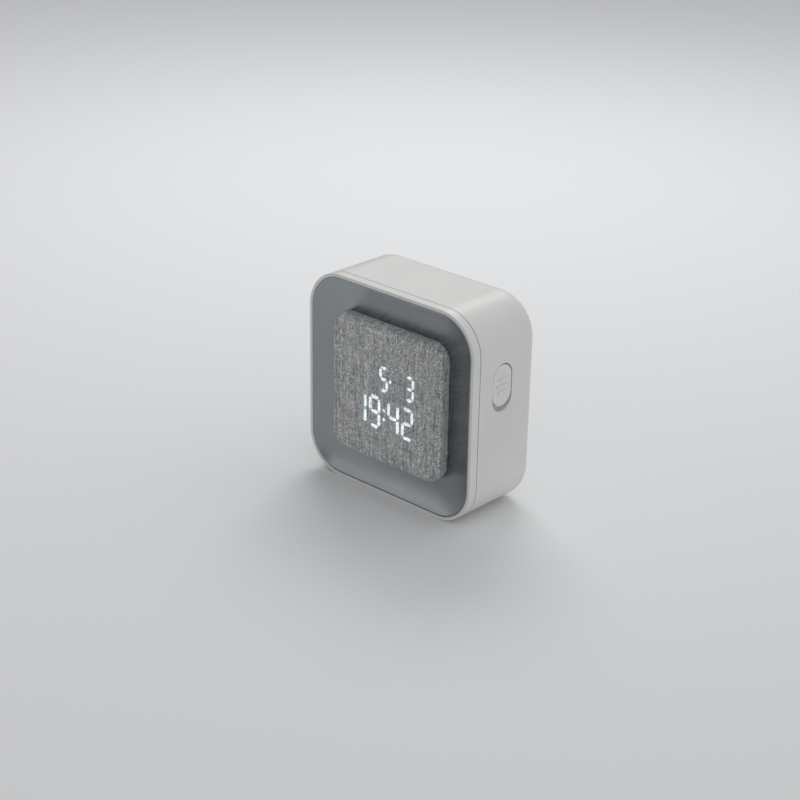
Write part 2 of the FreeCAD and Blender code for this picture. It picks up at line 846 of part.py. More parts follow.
# Side switch values: the recess floor, the inner face behind it and the neck's middle
side_plane = sizes.case_width / 2
slide_floor = side_plane - sizes.slide_recess_depth
slide_inside = slide_floor - sizes.slide_backing
slider_middle = (
    sizes.slide_rise + sizes.slide_recess_height / 2 - sizes.slider_top_gap - sizes.slider_height / 2
)
clip_rear = slide_inside - sizes.slider_floor_gap
clip_front = clip_rear - sizes.clip_thickness
neck_end = clip_front - sizes.clip_thickness / 2
switch_body_face = neck_end - sizes.clip_thickness
switch_board_face = switch_body_face - sizes.switch_body_depth
switch_board_back = switch_board_face - sizes.display_board_thickness
switch_middle = slider_middle - sizes.slider_travel / 2
switch_posts = (switch_middle + sizes.switch_post_offset, switch_middle - sizes.switch_post_offset)


# Housing: the moulded tub that holds everything behind the dish
def make_housing():
    piece = new_piece("housing")
    overrun = sizes.cut_overrun
    add(piece, "block", "y", seam_rear, rear_plane, case_outline(centre))
    round_edges(piece, "rear_edge", sizes.rear_round, lambda point: near(point.y, rear_plane))
    cut(piece, "hollow", "y", seam_rear - overrun, rear_inside, case_outline(sizes.side_wall))
    inner_round = sizes.rear_round - sizes.rear_wall
    round_edges(piece, "inner_edge", inner_round, lambda point: near(point.y, rear_inside))

    # Screw tubes from the rear wall to the dish's bosses
    tubes = [disc(x, z, sizes.case_screw_tube) for x, z in case_screws]
    add(piece, "screw_tubes", "y", sizes.case_screw_joint, rear_inside, *tubes)
    seat = sizes.case_screw_joint + sizes.case_screw_seat
    wells = [disc(x, z, sizes.case_screw_head + sizes.head_clearance) for x, z in case_screws]
    cut(piece, "screw_wells", "y", seat, rear_plane + overrun, *wells)
    clear = sizes.case_screw_shank + sizes.hole_clearance
    holes = [disc(x, z, clear) for x, z in case_screws]
    cut(piece, "screw_holes", "y", sizes.case_screw_joint - overrun, seat + overrun, *holes)

    # Battery bay, its rebate for the door, and the slots for the door's tongues and latch
    wall = sizes.bay_wall
    add(
        piece, "bay_block", "y", bay_floor - wall, rear_inside,
        box(centre, bay_middle, bay_length + 2 * wall, bay_height + 2 * wall),
    )
    cut(piece, "bay", "y", bay_floor, rear_plane + overrun, box(centre, bay_middle, bay_length, bay_height))
    gap = 2 * sizes.door_gap
    rebate = rounded(centre, bay_middle, door_width + gap, door_height + gap, sizes.door_corner)
    cut(piece, "door_rebate", "y", door_seat, rear_plane + overrun, rebate)
    slot_low = door_low - sizes.tongue_reach * 1.25
    slot_high = door_low + sizes.door_ledge + sizes.tongue_reach / 2
    slot_width = sizes.tongue_width + 2 * sizes.head_clearance
    slot_front = tongue_front - sizes.tongue_reach / 2
    slots = [
        box(x, (slot_low + slot_high) / 2, slot_width, slot_high - slot_low) for x in tongue_places
    ]
    cut(piece, "tongue_slots", "y", slot_front, door_seat + sizes.door_seat_gap, *slots)
    latch_slot_width = sizes.latch_width + 2 * sizes.head_clearance
    latch_high = door_top + sizes.door_gap
    latch_low = bay_middle + bay_height / 2 - sizes.door_ledge / 2
    cut(
        piece, "latch_slot", "y", slot_front, door_seat + sizes.door_seat_gap,
        box(centre, (latch_low + latch_high) / 2, latch_slot_width, latch_high - latch_low),
    )
    notch_top = door_top + sizes.door_gap + sizes.finger_notch_height
    cut(
        piece, "finger_notch", "y", rear_plane - sizes.finger_notch_depth, rear_plane + overrun,
        rounded(
            centre, notch_top - sizes.finger_notch_height, sizes.finger_notch_width,
            2 * sizes.finger_notch_height, sizes.finger_notch_height * 0.9,
        ),
    )

    lead_hole = sizes.lead_radius + sizes.lead_gap
    bay_end = bay_length / 2
    cut(
        piece, "left_lead_hole", "x", -bay_end - wall - overrun, -bay_end,
        disc(cell_axis, cell_rise(0), lead_hole),
    )
    cut(
        piece, "right_lead_hole", "x", bay_end, bay_end + wall + overrun,
        disc(cell_axis, cell_rise(2), lead_hole),
    )

    # Loudspeaker ring and its hole pattern
    ring_inner = sizes.speaker_radius + sizes.speaker_clearance
    ring_outer = ring_inner + sizes.speaker_ring_wall
    add(
        piece, "speaker_ring", "y", rear_inside - sizes.speaker_ring_length, rear_inside,
        disc(centre, sizes.speaker_rise, ring_outer), disc(centre, sizes.speaker_rise, ring_inner),
    )
    holes = [disc(centre, sizes.speaker_rise, sizes.grille_hole_radius)]
    for ring, count in GRILLE_RINGS:
        for index in range(count):
            angle = 2 * math.pi * index / count
            across = sizes.grille_pitch * (ring * math.cos(angle))
            up = sizes.speaker_rise + sizes.grille_pitch * (ring * math.sin(angle))
            holes.append(disc(across, up, sizes.grille_hole_radius))
    cut(piece, "grille", "y", rear_inside - overrun, rear_plane + overrun, *holes)

    # Button recesses, backing, holes and the posts that carry the key boards
    sides = (sizes.button_offset, -sizes.button_offset)
    recess_height = sizes.button_pitch + sizes.button_recess_width
    backing = 2 * sizes.button_recess_depth
    add(
        piece, "button_backing", "y", button_inside, rear_inside,
        *[
            obround(x, sizes.button_mid_rise, sizes.button_recess_width + backing, recess_height + backing)
            for x in sides
        ],
    )
    cut(
        piece, "button_recess", "y", button_recess_floor, rear_plane + overrun,
        *[obround(x, sizes.button_mid_rise, sizes.button_recess_width, recess_height) for x in sides],
    )
    hole = sizes.button_radius + sizes.button_clearance
    holes = [disc(x, z, hole) for x in sides for z in button_rises]
    cut(piece, "button_holes", "y", button_inside - overrun, rear_plane, *holes)
    posts = [disc(x, sizes.button_mid_rise, sizes.board_post_radius) for x in sides]
    add(piece, "key_posts", "y", key_board_rear, button_inside, *posts)
    pilot = sizes.small_screw_shank + sizes.screw_clearance
    pilots = [disc(x, sizes.button_mid_rise, pilot) for x in sides]
    cut(piece, "key_pilots", "y", key_board_rear - overrun, rear_inside, *pilots)

    # Side recess with a thicker wall behind it, the neck's slot and the switch board's posts
    margin = 2 * sizes.side_wall
    add(
        piece, "slide_wall", "x", slide_inside, side_plane - sizes.side_wall / 2,
        rounded(
            sizes.slide_back, sizes.slide_rise, sizes.slide_recess_width + margin,
            sizes.slide_recess_height + margin, sizes.slide_recess_width / 2,
        ),
    )
    cut(
        piece, "slide_recess", "x", slide_floor, side_plane + overrun,
        obround(sizes.slide_back, sizes.slide_rise, sizes.slide_recess_width, sizes.slide_recess_height),
    )
    neck_slot_height = sizes.neck_height + sizes.slider_travel + 2 * sizes.neck_clearance
    cut(
        piece, "neck_slot", "x", slide_inside - overrun, slide_floor + overrun,
        box(
            sizes.slide_back, switch_middle, sizes.neck_width + 2 * sizes.neck_clearance,
            neck_slot_height,
        ),
    )
    posts = [disc(sizes.slide_back, z, sizes.switch_post_radius) for z in switch_posts]
    add(piece, "switch_posts", "x", switch_board_face, slide_inside, *posts)
    pilots = [disc(sizes.slide_back, z, pilot) for z in switch_posts]
    cut(piece, "switch_pilots", "x", switch_board_face - overrun, slide_inside, *pilots)


# Battery door: a flush plate with two tongues at its foot and a sprung latch at its top
def make_battery_door():
    piece = new_piece("battery_door")
    add(
        piece, "plate", "y", door_inside, rear_plane,
        rounded(centre, bay_middle, door_width, door_height, sizes.door_corner - sizes.door_gap),
    )
    leg_low = door_low + sizes.door_seat_gap
    leg_high = door_low + sizes.tongue_reach
    tongue_rear = tongue_front + sizes.tongue_thickness
    legs = [box(x, (leg_low + leg_high) / 2, sizes.tongue_width, leg_high - leg_low) for x in tongue_places]
    add(piece, "legs", "y", tongue_front, door_inside, *legs)
    tongue_low = door_low - sizes.tongue_reach
    tongues = [
        box(x, (tongue_low + leg_high) / 2, sizes.tongue_width, leg_high - tongue_low)
        for x in tongue_places
    ]
    add(piece, "tongues", "y", tongue_front, tongue_rear, *tongues)
    hook_top = door_top - sizes.door_seat_gap
    hook_height = sizes.door_ledge * 1.4
    hook_width = sizes.latch_width - 2 * sizes.latch_slot
    add(
        piece, "hook", "y", tongue_front, door_inside,
        box(centre, hook_top - hook_height / 2, hook_width, hook_height),
    )
    slot_x = (sizes.latch_width - sizes.latch_slot) / 2
    slot_middle = door_top - (sizes.latch_length - sizes.cut_overrun) / 2
    slot_height = sizes.latch_length + sizes.cut_overrun
    slots = [box(x, slot_middle, sizes.latch_slot, slot_height) for x in (slot_x, -slot_x)]
    cut(piece, "latch_slots", "y", tongue_front, rear_plane + sizes.cut_overrun, *slots)


# Signs of the three cells from the top down: 1 has its spring on the left
CELL_SIGNS = (1, -1, 1)


# Battery cells: three AAA cells laid side by side, turned end for end
def make_battery_cells():
    piece = new_piece("battery_cells")
    for index, sign in enumerate(CELL_SIGNS):
        rise = cell_rise(index)
        spring_end = -(bay_length / 2 - sizes.contact_thickness - sizes.spring_length) * sign
        far_end = spring_end + sizes.cell_length * sign
        nub_end = far_end + sizes.cell_nub_length * sign
        ends = (spring_end, far_end) if sign > 0 else (far_end, spring_end)
        nub = (far_end, nub_end) if sign > 0 else (nub_end, far_end)
        add(piece, "can_%d" % index, "x", *ends, disc(cell_axis, rise, sizes.cell_diameter / 2))
        add(piece, "nub_%d" % index, "x", *nub, disc(cell_axis, rise, sizes.cell_nub_radius))


# Battery contacts: sprung steel plates at both ends of the bay
def make_battery_contacts():
    piece = new_piece("battery_contacts")
    inside = bay_length / 2
    plates = [
        box(cell_axis, cell_rise(index), sizes.contact_width, sizes.contact_width) for index in range(3)
    ]
    add(piece, "left_plates", "x", -inside, sizes.contact_thickness - inside, *plates)
    add(piece, "right_plates", "x", inside - sizes.contact_thickness, inside, *plates)


# One arc that leaves start towards the control point and arrives at end
def corner_arc(start, control, end):
    middle = (start + end) / 2
    half_chord = (end - start).Length / 2
    reach = (control - start).Length
    angle = math.acos(min(1.0, half_chord / reach))
    toward = control - middle
    toward.normalize()
    sagitta = half_chord * math.tan(angle / 2)
    return Part.Arc(start, middle + toward * sagitta, end).toShape()


# Two arcs that join two points with the given directions
def biarc(start, start_way, end, end_way):
    span = end - start
    ways = start_way + end_way
    across = span.dot(ways)
    bend = 2 * (1 - start_way.dot(end_way))
    reach = (math.sqrt(across * across + bend * span.dot(span)) - across) / bend
    first = start + start_way * reach
    second = end - end_way * reach
    joint = (first + second) / 2
    return [corner_arc(start, first, joint), corner_arc(joint, second, end)]


QUARTERS_PER_TURN = 4


# A round coil about the x axis, from one x to another, as quarter turns of arcs
def coil_solid(from_x, to_x, y, z, radius, wire, turns):
    quarters = int(turns * QUARTERS_PER_TURN)
    rise = (to_x - from_x) / quarters
    step = math.pi / 2
    points, ways = [], []
    for index in range(quarters + 1):
        angle = index * step
        point = (from_x + rise * index, y + radius * math.cos(angle), z + radius * math.sin(angle))
        points.append(FreeCAD.Vector(*point))
        way = FreeCAD.Vector(rise, -radius * step * math.sin(angle), radius * step * math.cos(angle))
        way.normalize()
        ways.append(way)
    edges = []
    for index in range(quarters):
        edges += biarc(points[index], ways[index], points[index + 1], ways[index + 1])
    path = Part.Wire(edges)
    ring = Part.Circle(points[0], ways[0], wire / 2)
    pitch = abs(rise) * QUARTERS_PER_TURN
    print("coil gap to itself %.2f mm" % (pitch - wire))
    return path.makePipeShell([Part.Wire(ring.toShape())], True, False)


# Battery springs: coils that press each cell's flat end
def make_battery_springs():
    wire = float(sizes.spring_wire)
    radius = float(sizes.spring_radius)
    turns = float(sizes.spring_turns)
    plate = float(bay_length) / 2 - float(sizes.contact_thickness) - wire / 2
    reach = float(sizes.spring_length) - wire
    coils = []
    for index, sign in enumerate(CELL_SIGNS):
        start = -plate * sign
        coils.append(
            coil_solid(
                start, start + reach * sign, float(cell_axis), float(cell_rise(index)), radius,
                wire, turns,
            )
        )
    new_shape_piece("battery_springs", Part.makeCompound(coils))


# Loudspeaker: gasket, basket, motor and a coned diaphragm hung in a rolled surround.
# Profiles give radius and depth, turned about the speaker's axis.
def make_speaker():
    rise = sizes.speaker_rise
    outer = sizes.speaker_radius
    surround_outer = outer - 2 * sizes.basket_wall
    gasket_front = rear_inside - sizes.gasket_thickness
    flange_front = gasket_front - sizes.flange_thickness
    motor_back = rear_inside - sizes.speaker_depth

    gasket = new_piece("speaker_gasket")
    spin(gasket, "ring", rise, outline(
        (surround_outer, gasket_front), (outer, gasket_front),
        (outer, rear_inside), (surround_outer, rear_inside),
    ))

    frame = new_piece("speaker_frame")
    wall = sizes.basket_wall
    hole = sizes.coil_radius + sizes.coil_gap * 2
    spin(frame, "basket", rise, outline(
        (hole, basket_back), (surround_outer, basket_back), (surround_outer, flange_front),
        (outer, flange_front), (outer, gasket_front), (surround_outer, gasket_front),
        (surround_outer - wall, gasket_front - sizes.flange_thickness),
        (surround_outer - wall, basket_floor), (hole, basket_floor),
    ))

    magnet = new_piece("speaker_magnet")
    pole = sizes.coil_radius - sizes.coil_gap - sizes.cone_wall
    gap_floor = motor_back + sizes.basket_wall
    spin(magnet, "yoke", rise, outline(
        (centre, motor_back), (sizes.magnet_radius, motor_back), (sizes.magnet_radius, basket_back),
        (hole, basket_back), (hole, gap_floor), (pole, gap_floor), (pole, basket_floor),
        (centre, basket_floor),
    ))

    # Diaphragm: a cone, a dust cap and the coil former that runs in the magnet's gap
    diaphragm = new_piece("speaker_diaphragm")
    cone_wall = sizes.cone_wall
    cone_edge = gasket_front - sizes.flange_thickness
    cone_foot = basket_floor + sizes.flange_thickness
    coil_inner = sizes.coil_radius - cone_wall
    former_end = gap_floor + sizes.basket_wall
    cap_top = cone_edge
    spin(diaphragm, "cone", rise, outline(
        (centre, cap_top - cone_wall), (coil_inner * 0.7, cap_top - cone_wall * 1.8),
        (coil_inner, cone_foot), (coil_inner, former_end), (sizes.coil_radius, former_end),
        (sizes.coil_radius, cone_foot), (sizes.cone_radius, cone_edge - cone_wall),
        (sizes.cone_radius, cone_edge), (sizes.coil_radius, cone_foot + cone_wall * 1.6),
        (coil_inner * 0.7, cap_top - cone_wall * 0.8), (centre, cap_top),
    ))

    # Surround: a half roll of thin rubber between the cone's edge and the basket
    surround = new_piece("speaker_surround")
    inner_edge, outer_edge = sizes.cone_radius, surround_outer - wall
    crest = (inner_edge + outer_edge) / 2
    roll = (outer_edge - inner_edge) / 2
    thin = cone_wall * 0.5
    spin(surround, "roll", rise, outline(
        (inner_edge, cone_edge - thin), (crest, cone_edge + roll * 0.6 - thin),
        (outer_edge, cone_edge - thin), (outer_edge, cone_edge),
        (crest, cone_edge + roll * 0.6), (inner_edge, cone_edge),
    ))


BUTTON_NAMES = (
    ("time", 1, 0), ("alarm", 1, 1), ("up", -1, 0), ("down", -1, 1),
)


# Rear buttons: each cap has a flange inside the wall and presses a switch plunger
def make_buttons():
    for name, side, level in BUTTON_NAMES:
        x = sizes.button_offset * side
        z = button_rises[level]
        cap = new_piece(name + "_button")
        cap_top = button_recess_floor + sizes.button_proud
        flange = disc(x, z, sizes.button_flange_radius)
        add(cap, "flange", "y", button_flange_front, button_flange_rear, flange)
        add(cap, "cap", "y", button_flange_rear, cap_top, disc(x, z, sizes.button_radius))
        round_edges(
            cap, "edge", sizes.button_proud / 3, lambda point: near(point.y, cap_top)
        )
        plunger = new_piece(name + "_plunger")
        add(
            plunger, "pin", "y", button_flange_front - sizes.tact_plunger_length, button_flange_front,
            disc(x, z, sizes.tact_plunger_radius),
        )

    # Switch bodies with a well for each plunger, and the boards that carry them
    switches = new_piece("tact_switches")
    sides = (sizes.button_offset, -sizes.button_offset)
    places = [(x, z) for x in sides for z in button_rises]
    face = key_board_rear + sizes.tact_height
    width = sizes.tact_width
    add(switches, "cans", "y", key_board_rear, face, *[box(x, z, width, width) for x, z in places])
    pressed_tip = button_flange_front - sizes.tact_plunger_length - sizes.button_travel
    well_floor = pressed_tip - sizes.button_clearance
    well = sizes.tact_plunger_radius + sizes.button_clearance
    wells = [disc(x, z, well) for x, z in places]
    cut(switches, "wells", "y", well_floor, face + sizes.cut_overrun, *wells)

    boards = new_piece("key_boards")
    shapes = [
        box(x, sizes.button_mid_rise, sizes.key_board_width, sizes.key_board_height) for x in sides
    ]
    add(boards, "boards", "y", key_board_front, key_board_rear, *shapes)
    hole = sizes.small_screw_shank + sizes.hole_clearance
    holes = [disc(x, sizes.button_mid_rise, hole) for x in sides]
    cut(
        boards, "holes", "y", key_board_front - sizes.cut_overrun, key_board_rear + sizes.cut_overrun,
        *holes,
    )


# Side switch: a thumb piece with three grips, whose neck carries a clip and a lever inside
def make_side_switch():
    back = sizes.slide_back
    slider = new_piece("side_slider")
    pad_inner = slide_floor + sizes.slider_floor_gap
    pad_outer = side_plane - sizes.slider_sunk
    thumb = obround(back, slider_middle, sizes.slider_width, sizes.slider_height)
    add(slider, "thumb", "x", pad_inner, pad_outer, thumb)
    round_edges(slider, "thumb_edge", sizes.slider_edge, lambda point: near(point.x, pad_outer))
    # The middle grip is the longest, and the outer two are three quarters of it.
    grips = []
    for step in (1, 0, -1):
        length = sizes.grip_length * (1.0 - abs(step) / 4)
        grips.append(
            box(back, slider_middle + sizes.grip_pitch * step, length, sizes.grip_width)
        )
    add(slider, "grips", "x", pad_outer, pad_outer + sizes.grip_height, *grips)
    neck = box(back, slider_middle, sizes.neck_width, sizes.neck_height)
    add(slider, "neck", "x", neck_end, pad_inner, neck)
    socket_size = sizes.lever_size + 2 * sizes.screw_clearance
    socket_floor = slide_inside + sizes.screw_clearance
    cut(
        slider, "lever_socket", "x", neck_end - sizes.cut_overrun, socket_floor,
        box(back, slider_middle, socket_size, socket_size),
    )

    clip = new_piece("slider_clip")
    clear = 2 * sizes.screw_clearance
    add(
        clip, "plate", "x", clip_front, clip_rear,
        box(back, slider_middle, sizes.clip_width, sizes.clip_height),
        box(back, slider_middle, sizes.neck_width + clear, sizes.neck_height + clear),
    )

    lever = new_piece("switch_lever")
    lever_end = switch_body_face - sizes.lever_size
    add(
        lever, "lever", "x", lever_end, socket_floor - sizes.screw_clearance,
        box(back, slider_middle, sizes.lever_size, sizes.lever_size),
    )

    body = new_piece("slide_switch_body")
    add(
        body, "can", "x", switch_board_face, switch_body_face,
        box(back, switch_middle, sizes.switch_body_width, sizes.switch_body_height),
    )
    channel = sizes.lever_size + sizes.slider_travel + 2 * sizes.neck_clearance
    cut(
        body, "channel", "x", lever_end - sizes.neck_clearance, switch_body_face + sizes.cut_overrun,
        box(back, switch_middle, sizes.lever_size + 2 * sizes.neck_clearance, channel),
    )

    board = new_piece("switch_board")
    add(
        board, "board", "x", switch_board_back, switch_board_face,
        box(back, switch_middle, sizes.switch_board_width, sizes.switch_board_height),
    )
    hole = sizes.small_screw_shank + sizes.hole_clearance
    holes = [disc(back, z, hole) for z in switch_posts]
    cut(
        board, "holes", "x", switch_board_back - sizes.cut_overrun,
        switch_board_face + sizes.cut_overrun, *holes,
    )


# A set of equal screws: heads at their seat, shanks pointing to the front or to the right
def make_screws(label, axis, places, seat, toward, head, head_height, shank, length):
    piece = new_piece(label)
    heads = [disc(across, up, head) for across, up in places]
    shanks = [disc(across, up, shank) for across, up in places]
    if toward > 0:
        add(piece, "heads", axis, seat - head_height, seat, *heads)
        add(piece, "shanks", axis, seat, seat + length, *shanks)
        outer = seat - head_height
    else:
        add(piece, "heads", axis, seat, seat + head_height, *heads)
        add(piece, "shanks", axis, seat - length, seat, *shanks)
        outer = seat + head_height
    recess_end = outer + head_height / 2 * toward
    ends = (outer, recess_end) if toward > 0 else (recess_end, outer)
    slots = []
    for across, up in places:
        slots.append(cross(across, up, head))
    cut(piece, "drives", axis, *ends, *slots)


# The plus-shaped drive in a screw's head, with arms as shares of the head's radius
CROSS_ARM_SHARE = 0.6
CROSS_WIDTH_SHARE = 0.14


def cross(across, up, head):
    arm, half = head * CROSS_ARM_SHARE, head * CROSS_WIDTH_SHARE
    corners = [(arm, -half), (arm, half), (half, half)]
    points = []
    for index in range(4):
        points += [(across + x, up + z) for x, z in corners]
        corners = [(-z, x) for x, z in corners]
    return outline(*points)


def make_fasteners():
    small = (
        sizes.small_screw_head, sizes.small_screw_head_height, sizes.small_screw_shank,
    )
    seat = sizes.case_screw_joint + sizes.case_screw_seat
    make_screws(
        "housing_screws", "y", case_screws, seat, -1, sizes.case_screw_head,
        sizes.case_screw_head_height, sizes.case_screw_shank, sizes.case_screw_length,
    )
    make_screws("pad_screws", "y", pad_screws, dish_rear, -1, *small, sizes.small_screw_length)
    board_length = board_rear - dish_rear + sizes.dish_thickness / 2
    make_screws("board_screws", "y", board_screws, board_rear, -1, *small, board_length)
    key_places = [(x, sizes.button_mid_rise) for x in (sizes.button_offset, -sizes.button_offset)]
    make_screws("key_screws", "y", key_places, key_board_front, 1, *small, sizes.small_screw_length)
    switch_places = [(sizes.slide_back, z) for z in switch_posts]
    make_screws(
        "switch_screws", "x", switch_places, switch_board_back, 1, *small, sizes.small_screw_length
    )


# Share of the shorter run that each bend of a lead takes up
BEND_SHARE = 0.45


# A round lead along straight runs that are joined by arcs
def lead_solid(places):
    points = [FreeCAD.Vector(*[float(part) for part in place]) for place in places]
    edges = []
    last = points[0]
    for before, corner, after in zip(points, points[1:], points[2:]):
        into, away = corner - before, after - corner
        trim = BEND_SHARE * min(into.Length, away.Length)
        into.normalize()
        away.normalize()
        start, end = corner - into * trim, corner + away * trim
        edges.append(Part.LineSegment(last, start).toShape())
        edges.append(corner_arc(start, corner, end))
        last = end
    edges.append(Part.LineSegment(last, points[-1]).toShape())
    way = points[1] - points[0]
    way.normalize()
    ring = Part.Circle(points[0], way, float(sizes.lead_radius))
    return Part.Wire(edges).makePipeShell([Part.Wire(ring.toShape())], True, False)


# A lead leaves its start along the given way and arrives square to the main board's rear face.
def lead_to_board(start, way, across, up):
    run = sizes.lead_run
    left = [place + run * share for place, share in zip(start, way)]
    return lead_solid([start, left, (across, board_rear + run, up), (across, board_rear, up)])


FORWARD = (0.0, -1.0, 0.0)
# The cells' leads run this much further before they turn, to clear the bay's corner
SIDE_RUN_SHARE = 1.3


# Leads: hook-up wires from the loudspeaker, the cells, the key boards and the switch board
def make_leads():
    half_width, half_height = sizes.board_width / 2, sizes.board_height / 2
    middle = sizes.board_rise
    terminal = sizes.coil_radius * 2
    speaker = [
        lead_to_board(
            (terminal * side, basket_back, sizes.speaker_rise), FORWARD,
            half_width * 0.25 * side, middle + half_height * 0.75,
        )
        for side in (1, -1)
    ]
    new_shape_piece("speaker_leads", Part.makeCompound(speaker))

    battery = []
    for side, cell in ((-1, 0), (1, 2)):
        start = ((bay_length / 2) * side, cell_axis, cell_rise(cell))
        battery.append(
            lead_to_board(
                start, (SIDE_RUN_SHARE * side, 0.0, 0.0), half_width * 0.8 * side,
                middle - half_height * 0.85,
            )
        )
    new_shape_piece("battery_leads", Part.makeCompound(battery))

    key, switch = [], []
    for step in (-1, 0, 1):
        spread = sizes.lead_pitch * step
        for side in (1, -1):
            start = (
                sizes.button_offset * side, key_board_front,
                sizes.button_mid_rise - sizes.key_board_height * 0.4 + spread,
            )
            key.append(
                lead_to_board(
                    start, FORWARD, half_width * 0.8 * side, middle + half_height * 0.25 + spread
                )
            )
        start = (
            switch_board_back, sizes.slide_back + sizes.switch_board_width * 0.25,
            switch_middle - sizes.switch_board_height * 0.15 + spread,
        )
        switch.append(
            lead_to_board(start, (-1.0, 0.0, 0.0), half_width * 0.9, middle - half_height * 0.1 + spread)
        )
    new_shape_piece("key_leads", Part.makeCompound(key))
    new_shape_piece("switch_leads", Part.makeCompound(switch))


make_front_bezel()
make_housing()
make_dish_panel()
make_pad_carrier()
make_fabric_cover()
make_display()
make_main_board()
make_battery_door()
make_battery_cells()
make_battery_contacts()
make_battery_springs()
make_speaker()
make_buttons()
make_side_switch()
make_fasteners()
make_leads()
document.recompute()

# Every object has to be up to date and every piece valid before anything is written.
for thing in document.Objects:
    if "Invalid" in thing.State or "Error" in thing.State:
        raise ValueError("%s is %s" % (thing.Name, thing.State))
for piece in pieces:
    if piece.Shape.isNull() or not piece.Shape.isValid():
        raise ValueError("%s has no valid shape" % piece.Label)

os.makedirs("parts", exist_ok=True)
for piece in pieces:
    piece.Shape.exportStep("parts/%s.step" % piece.Label)
print("%d pieces written" % len(pieces))
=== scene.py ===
import bpy
import bmesh
import math
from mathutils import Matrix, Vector


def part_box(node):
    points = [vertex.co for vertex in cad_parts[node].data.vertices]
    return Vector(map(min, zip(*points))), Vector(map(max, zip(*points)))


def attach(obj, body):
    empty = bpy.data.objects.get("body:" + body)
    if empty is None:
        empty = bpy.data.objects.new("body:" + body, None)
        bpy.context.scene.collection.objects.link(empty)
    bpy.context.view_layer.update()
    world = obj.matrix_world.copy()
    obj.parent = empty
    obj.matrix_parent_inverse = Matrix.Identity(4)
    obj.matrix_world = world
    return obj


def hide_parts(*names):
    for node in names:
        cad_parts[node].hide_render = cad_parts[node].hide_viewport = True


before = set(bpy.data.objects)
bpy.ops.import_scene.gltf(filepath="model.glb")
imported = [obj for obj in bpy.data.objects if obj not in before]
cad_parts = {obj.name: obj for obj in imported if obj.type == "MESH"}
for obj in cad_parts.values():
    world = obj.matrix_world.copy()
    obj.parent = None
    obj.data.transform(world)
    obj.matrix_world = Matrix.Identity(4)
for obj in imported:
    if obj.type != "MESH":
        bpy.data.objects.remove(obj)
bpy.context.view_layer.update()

# Camera: stands at the photograph's angle, and its lens gives the photograph's perspective
# in a square picture of 800 pixels.
CAMERA_LENS = 80.38
SENSOR_WIDTH = 36.0
FAR_CLIP = 20.0
CAMERA_PLACE = (0.45221, -0.49809, 0.33717)
CAMERA_TURN = (65.993, -0.929, 43.291)
camera_data = bpy.data.cameras.new("camera")
camera_data.lens = CAMERA_LENS
camera_data.sensor_width = SENSOR_WIDTH
camera_data.clip_end = FAR_CLIP
camera = bpy.data.objects.new("camera", camera_data)
camera.location = CAMERA_PLACE
camera.rotation_euler = [math.radians(angle) for angle in CAMERA_TURN]
bpy.context.scene.collection.objects.link(camera)
bpy.context.scene.camera = camera
bpy.context.scene.view_settings.view_transform = "Standard"


# Colours are written as sRGB hex values, as a paint chart gives them. The numbers below are
# those of the sRGB curve.
def to_linear(hex_code):
    parts = [int(hex_code[start:start + 2], 16) / 255 for start in (0, 2, 4)]
    return [p / 12.92 if p <= 0.04045 else ((p + 0.055) / 1.055) ** 2.4 for p in parts] + [1.0]


# Adds a node, sets its sockets or properties, and links its sockets by name or number.
def add_node(tree, kind, settings=(), links=()):
    node = tree.nodes.new(kind)
    for name, value in dict(settings).items():
        if isinstance(name, int) or name in node.inputs:
            node.inputs[name].default_value = value
        else:
            setattr(node, name, value)
    for name, source in dict(links).items():
        tree.links.new(source, node.inputs[name])
    return node


# A new material with its Principled shader already joined to the output
def new_material(name, **settings):
    material = bpy.data.materials.new(name)
    material.use_nodes = True
    tree = material.node_tree
    tree.nodes.clear()
    settings = {key.replace("_", " "): value for key, value in settings.items()}
    shader = add_node(tree, "ShaderNodeBsdfPrincipled", settings)
    add_node(tree, "ShaderNodeOutputMaterial", {}, {"Surface": shader.outputs[0]})
    return material, tree, shader


# Object coordinates in millimetres, so that a pattern's scale is a real size. A stretch under
# one draws the pattern out along that axis.
MM = 0.001


def in_millimetres(tree, stretch=(1.0, 1.0, 1.0)):
    place = add_node(tree, "ShaderNodeTexCoord").outputs["Object"]
    scale = [part / MM for part in stretch]
    return add_node(tree, "ShaderNodeMapping", {"Scale": scale}, {"Vector": place}).outputs[0]


# Soft noise with lumps of the given size. Most of its values lie between these two.
NOISE_LOW = 0.3
NOISE_HIGH = 0.7


def noise(tree, place, size, detail=2.0):
    settings = {"Scale": 1 / size, "Detail": detail}
    return add_node(tree, "ShaderNodeTexNoise", settings, {"Vector": place}).outputs[0]


# Draws a range of values out to another range, and holds what lies outside it
def spread(tree, value, low=0.0, high=1.0, to_low=0.0, to_high=1.0):
    settings = {"From Min": low, "From Max": high, "To Min": to_low, "To Max": to_high}
    return add_node(tree, "ShaderNodeMapRange", settings, {"Value": value}).outputs[0]


def calculate(tree, operation, first, second=0.0):
    node = add_node(tree, "ShaderNodeMath", {"operation": operation})
    for socket, value in zip(node.inputs, (first, second)):
        if isinstance(value, (int, float)):
            socket.default_value = value
        else:
            tree.links.new(value, socket)
    return node.outputs[0]


# A colour that runs between two hex values with a factor
def blend_colours(tree, factor, low_hex, high_hex):
    settings = {"data_type": "RGBA", 6: to_linear(low_hex), 7: to_linear(high_hex)}
    return add_node(tree, "ShaderNodeMix", settings, {0: factor}).outputs[2]


def lay_over(tree, factor, base, top):
    node = add_node(tree, "ShaderNodeMix", {"data_type": "RGBA"}, {0: factor})
    tree.links.new(base, node.inputs[6])
    tree.links.new(top, node.inputs[7])
    return node.outputs[2]


# A relief whose full height is the depth, in millimetres
def set_height(tree, shader, height, depth, strength):
    settings = {"Strength": strength, "Distance": depth * MM}
    relief = add_node(tree, "ShaderNodeBump", settings, {"Height": height})
    tree.links.new(relief.outputs[0], shader.inputs["Normal"])


